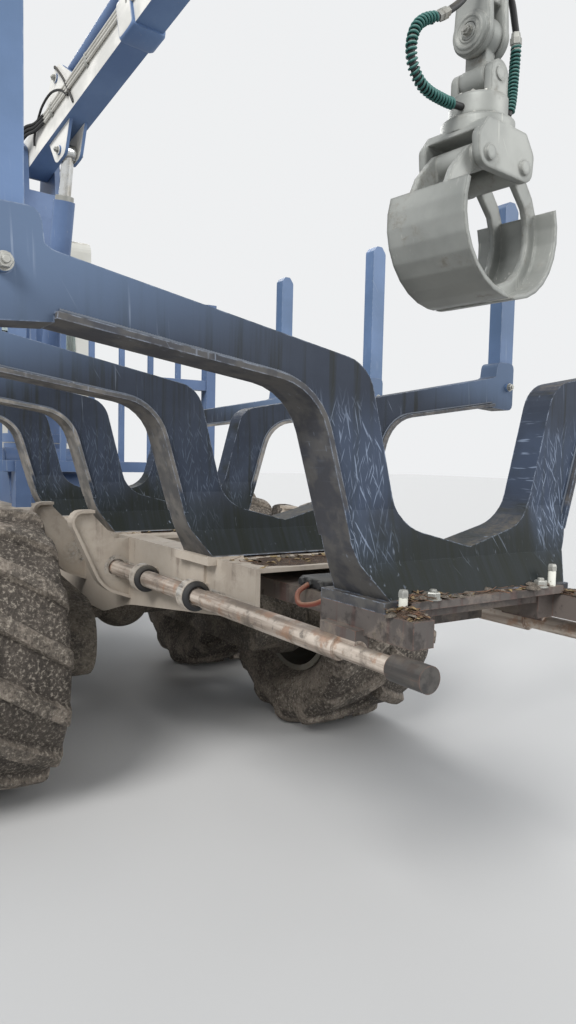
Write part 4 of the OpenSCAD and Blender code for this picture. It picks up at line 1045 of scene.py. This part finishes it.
def put_hose(name, corners, radius, finish, bodies, guard=None):
    """A hose through corner points. Between two bodies it rides on neither and stays where it is made;
    otherwise it rides on the one body named. Its spiral, if it has one, is a thin tube wound round it at even
    pitch."""
    path = curve(corners, 72)
    piece = put_mesh(name, *swept(path, radius, 12), None, finish)
    parts = [piece]
    if guard:
        fine = curve(corners, 700)[90:-60]
        along = unit(np.gradient(fine, axis=0))
        a = unit(np.cross(along, np.eye(3)[np.argmin(np.abs(unit(along.sum(0))))]))
        b = np.cross(along, a)
        run = np.cumsum(np.linalg.norm(np.gradient(fine, axis=0), axis=1))[:, None] / COIL_PITCH * 2 * np.pi
        coil = fine + (radius + COIL_OUT) * (np.cos(run) * a + np.sin(run) * b)
        parts.append(put_mesh(name + "_guard", *swept(coil, COIL_R, 5), None, guard))
    for part in parts:
        if len(bodies) == 2:
            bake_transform(part)
        else:
            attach(part, bodies[0])


print("knee:", crane(KNEE_H, 0, KNEE_Z).round(3))


# %% Pipes and clamps
PIPE_ROWS, STICK_ROWS = (0.036, 0.064, 0.092), (-0.02, 0.008, 0.036)  # heights above the beam's centreline
pipes = [swept(on_boom(np.linspace(0.46, 3.70, 40), -0.1125, n), 0.0105, 10) for n in PIPE_ROWS]
# Painted light: the pipes are pale all round, lit like the sides of the boom and the stick.
sunlit_pipe_paint = worked_paint("sunlit_pipe_paint", "cbc8c0", "b5b2aa", "8f9294", MUD, 0.04, 1.5, 0.3, 0.5, 0.45)
piece = put_mesh("boom_pipes", *joined(*pipes), "boom", sunlit_pipe_paint)
pipes = [swept(on_stick(np.linspace(0.52, 1.42, 16), -0.0935, n), 0.010, 10) for n in STICK_ROWS]
piece = put_mesh("stick_pipes", *joined(*pipes), "stick", sunlit_pipe_paint)


def saddle(half_length, rise):
    """A clamp: across u from -1 to 1 it rises like a rounded arch; along v it is a strap with turned ends."""
    u, v = np.meshgrid(np.linspace(-1, 1, 25), np.linspace(-1, 1, 7), indexing="ij")
    arch = rise * (1 - np.abs(u) ** 6) * (1 - 0.12 * v ** 4)
    return np.stack([v * 0.016, u * half_length, arch], -1).reshape(-1, 3), grid_faces(25, 7)


def clamp_frames(place, rows, s, middle):
    """Saddles lie across the pipes, with their arch away from the beam."""
    out = crane(0, -1, 0)
    frames = []
    for a in rows:
        at = place(a, s, middle)
        along = unit(place(a + 1, s, middle) - at)
        frames.append(np.stack([along, np.cross(out, along), out, at]))
    return frames


clamp = saddle(0.055, 0.026)
boom_side = clamp_frames(on_boom, np.arange(0.62, 3.7, 0.6), -0.0995, PIPE_ROWS[1])
stick_side = clamp_frames(on_stick, (0.62, 1.0, 1.36), -0.0795, STICK_ROWS[1])
put_mesh("boom_clamps", *copies(clamp, boom_side), "boom", nut_steel, angle=40)
put_mesh("stick_clamps", *copies(clamp, stick_side), "stick", nut_steel, angle=40)
print("clamps:", len(boom_side) + len(stick_side))

# %% Hoses
WIDE, TIP, THIN = 0.0125, 0.0135, 0.009  # radii
for k, n in enumerate(PIPE_ROWS):
    h, s = 0.03 * k, -0.178 - 0.004 * k
    put_hose(f"pillar_hose_{k + 1}", [
        crane(h - 0.13, -0.163, 3.30), crane(h - 0.13, -0.176, 3.52), crane(h - 0.10, s, 3.80),
        crane(0.02 + 0.02 * k, s - 0.006, 3.97 + 0.02 * k), crane(0.22, s + 0.012, 4.02 + n),
        on_boom(0.36, -0.135, n), on_boom(0.49, -0.1145, n)], WIDE, hose_rubber, ("pillar", "boom"))
BEND_H, BEND_Z = 4.195, 4.8532  # the knee hoses bend round this point of the crane's plane
for k, (n, m) in enumerate(zip(PIPE_ROWS, STICK_ROWS)):
    s, around = -0.197 - 0.002 * k, 0.14 + 0.028 * k
    bend = [crane(BEND_H + around * math.cos(t), s, BEND_Z + around * math.sin(t))
            for t in (1.75, 1.20, 0.65, 0.10)]
    put_hose(f"knee_hose_{k + 1}", [
        on_boom(3.68, -0.1145, n), on_boom(3.82, -0.135, n), on_boom(3.98, -0.178, n), *bend,
        on_stick(0.29, -0.180, m), on_stick(0.42, -0.130, m), on_stick(0.54, -0.0945, m)],
        WIDE, hose_rubber, ("boom", "stick"))
COUPLING = turned([(0, -0.032), (0.017, -0.032), (0.019, -0.014), (0.023, -0.012), (0.023, 0.012),
                   (0.019, 0.014), (0.017, 0.032), (0, 0.032)], 6)
LOOPS = [
    # name, number of corners before the coupling, corners as (out, sideways, up) from the tip pin
    ("right", 4, [
        (0.045, 0.066, 0.210), (0.050, 0.115, 0.160), (0.046, 0.150, 0.090), (0.044, 0.165, 0.030),
        (0.046, 0.160, -0.060), (0.062, 0.128, -0.180), (0.076, 0.098, -0.252), (0.079, 0.080, -0.290)]),
    ("left", 4, [
        (0.045, -0.066, 0.210), (0.052, -0.110, 0.150), (0.052, -0.185, 0.050), (0.046, -0.285, -0.035),
        (0.041, -0.375, -0.085), (0.038, -0.417, -0.127), (0.034, -0.4325, -0.185),
        (0.029, -0.417, -0.242), (0.024, -0.375, -0.284), (0.019, -0.3175, -0.2996),
        (0.014, -0.245, -0.300), (0.010, -0.180, -0.296), (0.008, -0.112, -0.288)]),
]
for name, before, corners in LOOPS:
    corners = [at_tip(*corner) for corner in corners]
    middle = corners[before - 1]
    way = unit(corners[before] - corners[before - 2])
    first = corners[:before - 1] + [middle - way * 0.03, middle]
    second = [middle, middle + way * 0.03] + corners[before:]
    put_mesh(name + "_coupling", *copies(COUPLING, [axes_for(way, middle)]), "link", nut_steel, False)
    put_hose(name + "_upper_hose", first, TIP, hose_rubber, ("extension", "link"))
    put_hose(name + "_lower_hose", second, TIP, hose_rubber, ("link", "swivel"), guard_plastic)
LUG_HOSES = [
    # corners as (along, sideways, above) from the boom's pin
    [(0.715, -0.0955, 0.335), (0.76, -0.112, 0.305), (0.86, -0.116, 0.16), (0.925, -0.114, 0.02),
     (0.95, -0.112, -0.045), (0.955, -0.103, -0.085)],
    [(0.90, -0.112, 0.0), (0.82, -0.124, 0.085), (0.68, -0.132, 0.145), (0.52, -0.132, 0.140),
     (0.40, -0.128, 0.085), (0.32, -0.124, 0.025), (0.27, -0.112, -0.030)],
]
for k, corners in enumerate(LUG_HOSES):
    put_hose(f"lug_hose_{k + 1}", [on_boom(*corner) for corner in corners], THIN, hose_rubber, ("boom",))
put_hose("carriage_hose", [
    (-4.270, 0.205, 1.178), (-4.290, 0.270, 1.152), (-4.345, 0.302, 1.125), (-4.420, 0.300, 1.135),
    (-4.490, 0.283, 1.165), (-4.560, 0.262, 1.183), (-4.604, 0.250, 1.186)], THIN, red_rubber, ("carriage",))
print("hoses done")

# %% [markdown]
# ## Pins, glands and bolts
# Every pin of the crane ends in a keeper with a bolt, the stakes are pinned to the bunks, and the
# cylinders have screwed glands where the rods come out. The same nut serves again.

# %% Pins and glands
PINS = [
    # name, body, function that finds its place, along, above, half length, size of its nuts
    ("boom_pin_nuts", "boom", on_boom, 0, 0, 0.170, 0.050),
    ("knee_pin_nuts", "boom", on_boom, BOOM_LEN, 0, 0.140, 0.046),
    ("lug_pin_nuts", "boom", on_boom, 0.71, 0.258, 0.104, 0.034),
    ("lift_eye_nuts", "boom", on_boom, 0.60, -0.24, 0.084, 0.036),
    ("crank_pin_nuts", "stick", on_stick, -0.44, 0, 0.102, 0.036),
    ("tip_pin_nuts", "extension", at_tip, 0, 0, 0.080, 0.032),
    ("lift_foot_nuts", "pillar", crane, 0.300, 2.300, 0.134, 0.042),
]
for name, body, place, a, n, half, size in PINS:
    ends = [axes_for(crane(0, side, 0), place(a, side * half, n), a * 3) for side in (-1, 1)]
    put_mesh(name, *copies(nut_shape(size), ends), body, nut_steel, False)

STAKE_FACE, STAKE_Y, STAKE_PIN_Z = 0.068, 1.3825, 2.010  # the stakes are pinned here
frames = {"rear": [], "carriage": []}
for i in range(BUNKS):
    for side in (-1, 1):
        for way in (-1, 1):
            place = (REAR_BUNK_X + BUNK_PITCH * i + way * STAKE_FACE, side * STAKE_Y, STAKE_PIN_Z)
            frames["carriage" if i == 0 else "rear"].append(axes_for((way, 0, 0), place, i))
for body, rows in frames.items():
    put_mesh(body + "_stake_nuts", *copies(nut_shape(0.030), rows), body, nut_steel, False)

CYLINDERS = [
    # body, foot and eye as (out, up) in the crane's plane, length of the barrel, outer and inner radius
    ("lift_barrel", (0.300, 2.300), (0.6394, 3.8597), 1.250, 0.080, 0.046),
    ("stick_barrel", (0.6302, 4.3696), (4.3552, 5.4386), 2.350, 0.055, 0.033),
]
for body, foot, eye, length, outer, inner in CYLINDERS:
    ray = unit(np.array(eye) - np.array(foot))
    place = crane(foot[0] + ray[0] * length, 0, foot[1] + ray[1] * length)
    ring = turned([(inner, 0.0), (outer * 0.86, 0.0), (outer * 0.86, outer * 0.42),
                   (outer * 0.80, outer * 0.48), (outer * 0.66, outer * 0.50), (inner + 0.004, outer * 0.50),
                   (inner, outer * 0.44)], 28)
    at_mouth = [axes_for(crane(ray[0], 0, ray[1]), place)]
    put_mesh(body + "_gland", *copies(ring, at_mouth), body, nut_steel, angle=35)
ends = [axes_for((0, side, 0), (x, side * 0.330, 1.56)) for x in (-0.32, 0.32) for side in (-1, 1)]
disc = turned([(0, 0), (0.080, 0), (0.080, 0.016), (0.072, 0.022), (0, 0.024)], 28)
cover = joined(disc, bolt_ring(8, 0.062, 0.016))
put_mesh("slew_covers", *copies(cover, ends), "rear", crane_paint, angle=35)

for name, body, count, ring_radius, drop in (("rotator", "swivel", 12, 0.092, 0.238),
                                             ("grapple", "grapple", 10, 0.118, 0.328)):
    flange = copies(bolt_ring(count, ring_radius, 0.016), [axes_for((0, 0, 1), at_tip(0, 0, -drop))])
    put_mesh(name + "_bolts", *flange, body, nut_steel, False)
ring = turned([(0.034, -0.001), (0.034, 0.006), (0.040, 0.007), (0.044, 0.002), (0.050, 0.002),
               (0.054, 0.007), (0.062, 0.007), (0.067, -0.001)], 36)
frames = [axes_for(crane(0, side, 0), at_tip(0, side * 0.074, 0)) for side in (-1, 1)]
put_mesh("tip_rings", *copies(ring, frames), "extension", grapple_finish, angle=35)


def band(half_side, half_height, rows, around=44):
    """A strap round a box beam: in section a superellipse of small power. Its rows are (along, how far it
    stands out)."""
    u = np.linspace(0, 2 * np.pi, around, endpoint=False)
    c, d = (np.sign(wave) * np.abs(wave) ** 0.22 for wave in (np.cos(u), np.sin(u)))
    rows = np.asarray(rows, float)
    a, out = rows[:, :1], rows[:, 1:]
    points = on_boom(a + 0 * c, c * (half_side + out), d * (half_height + out))
    return points.reshape(-1, 3), grid_faces(len(rows), around, close_columns=True)


STRAP = [(1.68, -0.004), (1.68, 0.016), (1.70, 0.024), (1.84, 0.024), (1.86, 0.016), (1.86, -0.004)]
put_mesh("boom_strap", *band(0.101, 0.111, STRAP), "boom", boom_paint, angle=35)
print("pins:", len(PINS), "glands:", len(CYLINDERS))

# %% [markdown]
# ## Cab
# Around the shell are mirrors on bent arms, wipers, grab rails and eight work lamps. Pads, housings
# and grips are superellipsoids: a sphere's cosines and sines raised to a small power, which makes a
# box with soft edges.

# %% Cab outside


def pillow(size, power=0.35, rows=18, columns=28):
    """A soft box of the given full sizes: sign(c) |c|^power of each sphere coordinate."""
    v = np.linspace(-np.pi / 2, np.pi / 2, rows)[:, None]
    u = np.linspace(0, 2 * np.pi, columns, endpoint=False)[None, :]

    def soft(t):
        return np.sign(t) * np.abs(t) ** power

    p = np.stack(np.broadcast_arrays(soft(np.cos(v)) * soft(np.cos(u)), soft(np.cos(v)) * soft(np.sin(u)),
                                     soft(np.sin(v))), -1) * np.array(size) / 2
    return p.reshape(-1, 3), grid_faces(rows, columns, close_columns=True)


def moved(shape, place, spin=0.0, tip=0.0):
    """A shape turned about Z, then tipped about Y, and moved."""
    c, s, ct, st = math.cos(spin), math.sin(spin), math.cos(tip), math.sin(tip)
    turn = np.array([[ct, 0, st], [0, 1, 0], [-st, 0, ct]]) @ np.array([[c, -s, 0], [s, c, 0], [0, 0, 1]])
    return shape[0] @ turn.T + np.asarray(place, float), shape[1]


net = Net("mirror_glass", Metallic=1.0)
film = net.noise(5, 5)
mirror_glass = net.finish(net.two_tone(film, "c8ccce", "a8acac"), net.remap(film, 0.4, 0.8, 0.04, 0.22))
housings, glasses, arms = [], [], []
for side in (-1, 1):
    spin = side * 0.20
    housings.append(moved(pillow((0.07, 0.21, 0.36), 0.3), (2.74, side * 1.16, 2.86), spin))
    glasses.append(moved(pillow((0.008, 0.17, 0.31), 0.25), (2.706, side * 1.153, 2.86), spin))
    for z in (2.78, 2.96):
        arms.append(swept(curve([(2.60, side * 0.845, z + 0.10), (2.64, side * 0.93, z + 0.11),
                                 (2.72, side * 1.08, z + 0.03), (2.745, side * 1.14, z)], 18), 0.011, 8))
put_mesh("mirror_housings", *joined(*housings), "front", black_plastic)
put_mesh("mirror_glasses", *joined(*glasses), "front", mirror_glass)

UPRIGHT = [(0.850, 1.66), (0.925, 1.69), (0.930, 1.95), (0.925, 2.20), (0.850, 2.23)]  # y, z
ON_ROOF = [(1.30, 3.72), (1.30, 3.78), (1.50, 3.79), (1.70, 3.78), (1.70, 3.72)]  # x, z
rails = [[(x, side * y, z) for y, z in UPRIGHT] for x, side in ((1.30, 1), (1.30, -1), (2.18, -1))]
rails += [[(x, y, z) for x, z in ON_ROOF] for y in (0.20, -0.20)]
arms += [swept(curve(rail, 40), 0.014, 10) for rail in rails]
put_mesh("rails_and_arms", *joined(*arms), "front", black_plastic)

WIPERS = [
    # pivot, elbow, blade's ends
    ((2.742, 0.42, 2.06), (2.722, 0.12, 2.42), (2.728, 0.24, 2.30), (2.672, -0.06, 2.88)),
    ((1.036, -0.40, 2.20), (1.034, -0.10, 2.58), (1.036, -0.22, 2.46), (1.034, 0.10, 3.05)),
]
arms = []
for pivot, elbow, low, high in WIPERS:
    lift = np.array([0.022 if pivot[0] > 2 else -0.022, 0, 0])  # away from the pane
    arm = [np.add(pivot, lift * 0.2), np.add(pivot, lift), np.add(elbow, lift)]
    blade = np.linspace(np.add(low, lift * 0.4), np.add(high, lift * 0.4), 20)
    arms += [swept(curve(arm, 14), 0.006, 8), swept(blade, 0.008, 6)]
put_mesh("wipers", *joined(*arms), "front", rubber)

rim = turned([(0.0, -0.002), (0.062, -0.002), (0.064, 0.010), (0.060, 0.016), (0.055, 0.012), (0.052, 0.006),
              (0, 0.006)], 26)
lens = turned([(0.0, 0.007), (0.051, 0.007), (0.050, 0.011), (0.036, 0.015), (0.018, 0.017), (0, 0.018)], 26)
frames = [axes_for((way, 0, 0), (x, y, 3.772))
          for x, way in ((1.140, -1), (2.530, 1)) for y in (-0.60, -0.24, 0.24, 0.60)]
put_mesh("lamp_rims", *copies(rim, frames), "front", black_plastic, angle=40)
piece = put_mesh("lamp_lenses", *copies(lens, frames), "front", lamp_glass)
pull = curve([(2.36, 0.850, 2.15), (2.36, 0.888, 2.15), (2.30, 0.895, 2.15), (2.22, 0.892, 2.15),
              (2.20, 0.850, 2.15)], 26)
handle = joined(swept(pull, 0.010, 10), moved(pillow((0.06, 0.016, 0.10)), (2.40, 0.854, 2.15)))
put_mesh("door_handle", *handle, "door", black_plastic)
print("rails:", len(rails), "lamps:", len(frames))

# %% Cab inside
inside = [
    moved(pillow((0.20, 0.62, 0.12), 0.4), (2.44, 0, 2.02), tip=-0.35),
    moved(pillow((0.14, 0.24, 0.56), 0.4), (2.46, 0, 1.76)),
    moved(pillow((0.40, 0.12, 0.10), 0.4), (1.72, 0.295, 2.13)),
    moved(pillow((0.40, 0.12, 0.10), 0.4), (1.72, -0.295, 2.13)),
    moved(pillow((0.035, 0.27, 0.20), 0.25), (2.32, -0.52, 2.36), 0.35),
    moved(pillow((0.30, 0.22, 0.03), 0.3), (2.28, 0.20, 1.53), tip=0.25),
    moved(pillow((0.30, 0.22, 0.03), 0.3), (2.28, -0.20, 1.53), tip=0.25),
    swept(curve([(2.46, -0.28, 2.02), (2.42, -0.44, 2.14), (2.34, -0.51, 2.30)], 16), 0.012, 8),
]
grip = turned([(0, 0), (0.030, 0), (0.032, 0.012), (0.016, 0.030), (0.014, 0.055), (0.024, 0.075),
               (0.026, 0.115), (0.030, 0.140), (0.024, 0.156), (0, 0.160)], 20)
inside += [copies(grip, [axes_for((0.18, 0, 1), (1.87, y, 2.17))]) for y in (-0.295, 0.295)]
put_mesh("controls", *joined(*inside), "front", black_plastic)
head = [moved(pillow((0.11, 0.30, 0.20), 0.45), (1.36, 0, 2.70), tip=-0.10),
        moved(pillow((0.46, 0.46, 0.10), 0.5), (1.68, 0, 1.90)),
        moved(pillow((0.11, 0.44, 0.56), 0.45), (1.47, 0, 2.24), tip=-0.14)]
put_mesh("seat_pads", *joined(*head), "front", cloth)
print("cab done")

# %% Valve block on the carriage
block = moved(pillow((0.170, 0.150, 0.040), 0.25), (-4.280, 0.130, 1.1775))
caps = copies(turned([(0, 0), (0.017, 0), (0.017, 0.010), (0.013, 0.014), (0, 0.014)], 6),
              [axes_for((0, 1, 0), (x, 0.204, 1.178)) for x in (-4.335, -4.270, -4.225)])
put_mesh("valve_block", *joined(block, caps), "carriage", black_plastic, angle=40)
print("valve block points:", len(block[0]) + len(caps[0]))

# %% [markdown]
# ## Hood, steps and fenders
# The nose has a wire mesh behind its slots and a finned radiator, the side vents have pressed louvres,
# and the steps have toothed gratings that grip in mud.

# %% Hood and radiator
WIRE_R, WIRE_WAVE = 0.0018, 0.0022


def wires(across, count_across, up, count_up, x):
    """A woven mesh in the YZ plane: each wire waves by about its own thickness in X."""
    made = []
    for k, y in enumerate(np.linspace(*across, count_across)):
        z = np.linspace(*up, count_up * 2 + 1)
        wave = WIRE_WAVE * np.cos(np.arange(len(z)) * np.pi / 2 + k * np.pi)
        made.append(swept(np.stack([x + wave, 0 * z + y, z], -1), WIRE_R, 4))
    for k, z in enumerate(np.linspace(*up, count_up)):
        y = np.linspace(*across, count_across)
        wave = WIRE_WAVE * np.cos(np.arange(len(y)) * np.pi + k * np.pi)
        made.append(swept(np.stack([x - wave, y, 0 * y + z], -1), WIRE_R, 4))
    return joined(*made)


put_mesh("nose_mesh", *wires((-0.50, 0.50), 41, (1.50, 1.96), 19, 4.772), "hood", black_plastic, False)


def fins(across, up, x, pitch, depth):
    """A radiator core: along Y its face goes in and out as a sine of short pitch, closed at the back."""
    y = np.arange(across[0], across[1], pitch / 6)
    wave = x + depth * np.abs(np.sin(np.pi * y / pitch)) ** 0.5
    z = np.linspace(*up, 8)
    front = np.stack(np.broadcast_arrays(wave, y, z[:, None]), -1)
    return front.reshape(-1, 3), grid_faces(8, len(y))


CORE_FRAME = [
    # size and place of each bar round the radiator
    ((0.10, 1.02, 0.07), (4.47, 0, 1.94)), ((0.10, 1.02, 0.07), (4.47, 0, 1.46)),
    ((0.10, 0.05, 0.52), (4.47, 0.49, 1.70)), ((0.10, 0.05, 0.52), (4.47, -0.49, 1.70)),
]
core = [fins((-0.46, 0.46), (1.47, 1.92), 4.50, 0.024, 0.010)]
core += [moved(pillow(size, 0.3), place) for size, place in CORE_FRAME]
piece = put_mesh("radiator", *joined(*core), "front", engine_finish)


def louvre(length, rise, width):
    """A pressed louvre: along u it swells as a sine power; along v it lifts from flat to its lip."""
    u, v = np.meshgrid(np.linspace(-1, 1, 16), np.linspace(0, 1, 6), indexing="ij")
    lip = rise * (1 - np.abs(u) ** 8) * np.sin(v * np.pi / 2)
    return np.stack([v * width, u * length / 2, lip], -1).reshape(-1, 3), grid_faces(16, 6)


LOUVRE_XS, LOUVRE_Z, HOOD_SIDE = np.arange(3.74, 4.53, 0.11) - 0.004, 1.71, 0.6905
frames = [np.array([(1, 0, 0), (0, 0, 1), (0, side, 0), (x, side * HOOD_SIDE, LOUVRE_Z)], float)
          for x in LOUVRE_XS for side in (-1, 1)]
piece = put_mesh("louvres", *copies(louvre(0.33, 0.022, 0.066), frames), "hood", body_finish)
piece.modifiers.new("metal", "SOLIDIFY").thickness = 0.002
latches = [moved(pillow((0.07, 0.018, 0.10), 0.3), (x, side * 0.694, 1.50))
           for x in (3.05, 3.45) for side in (-1, 1)]
put_mesh("hood_latches", *joined(*latches), "hood", black_plastic)
rings = [turned([(0.061, -0.018), (0.067, -0.015), (0.067, 0.015), (0.061, 0.018)], 28, (2.99, -0.53, z))
         for z in (2.42, 2.62, 2.82)]
put_mesh("pipe_rings", *joined(*rings), "hood", nut_steel)
print("louvres:", len(frames), "latches:", len(latches))

# %% Steps, rails and fenders


def tooth_row(length, count, half=0.0018):
    """A grating bar: along u its top goes up and down as teeth; v runs from one foot over the top to the
    other."""
    u = np.linspace(0, 1, count * 4 + 1)
    tooth = 0.012 + 0.006 * np.clip(1.5 * np.cos(2 * np.pi * count * u), -1, 1)
    rows = [np.stack([u * length, 0 * u + y, 0 * u + z], -1)
            for y, z in ((-half, -0.001), (-half, tooth), (half, tooth), (half, -0.001))]
    return np.stack(rows).reshape(-1, 3), grid_faces(4, len(u), close_rows=True)[:, ::-1]


STEP_X, STEP_ZS, GRATING_YS = 1.17, (0.55, 0.85, 1.15, 1.44), np.linspace(0.655, 0.868, 7)
frames = [np.array([(1, 0, 0), (0, 1, 0), (0, 0, 1), (STEP_X, side * y, z)], float)
          for z in STEP_ZS for y in GRATING_YS for side in (-1, 1)]
put_mesh("step_gratings", *copies(tooth_row(0.49, 14), frames), "front", step_finish, False)

FENDER = [(1.782, 1.245, 0), (1.920, 1.420, 0.155), (4.660, 1.420, 0.155), (4.838, 1.152, 0)]
line = even_line(rounded_line(FENDER, 14), 0.03)
lips = [swept(np.stack([line[:, 0], np.full(len(line), side * y), line[:, 1]], -1), 0.007, 8)
        for side in (-1, 1) for y in (0.692, 1.418)]
put_mesh("fender_lips", *joined(*lips), "front", rubber)
STEP_RAIL = [(1.115, 0.790, 0.60), (1.095, 0.800, 0.70), (1.090, 0.845, 1.20), (1.090, 0.880, 1.55),
             (1.095, 0.880, 1.90), (1.130, 0.852, 1.95)]
rails = [swept(curve([(x, side * y, z) for x, y, z in STEP_RAIL], 40), 0.014, 10) for side in (-1, 1)]
put_mesh("step_rails", *joined(*rails), "front", step_finish)
print("grating bars:", len(frames), "fender lips:", len(lips))
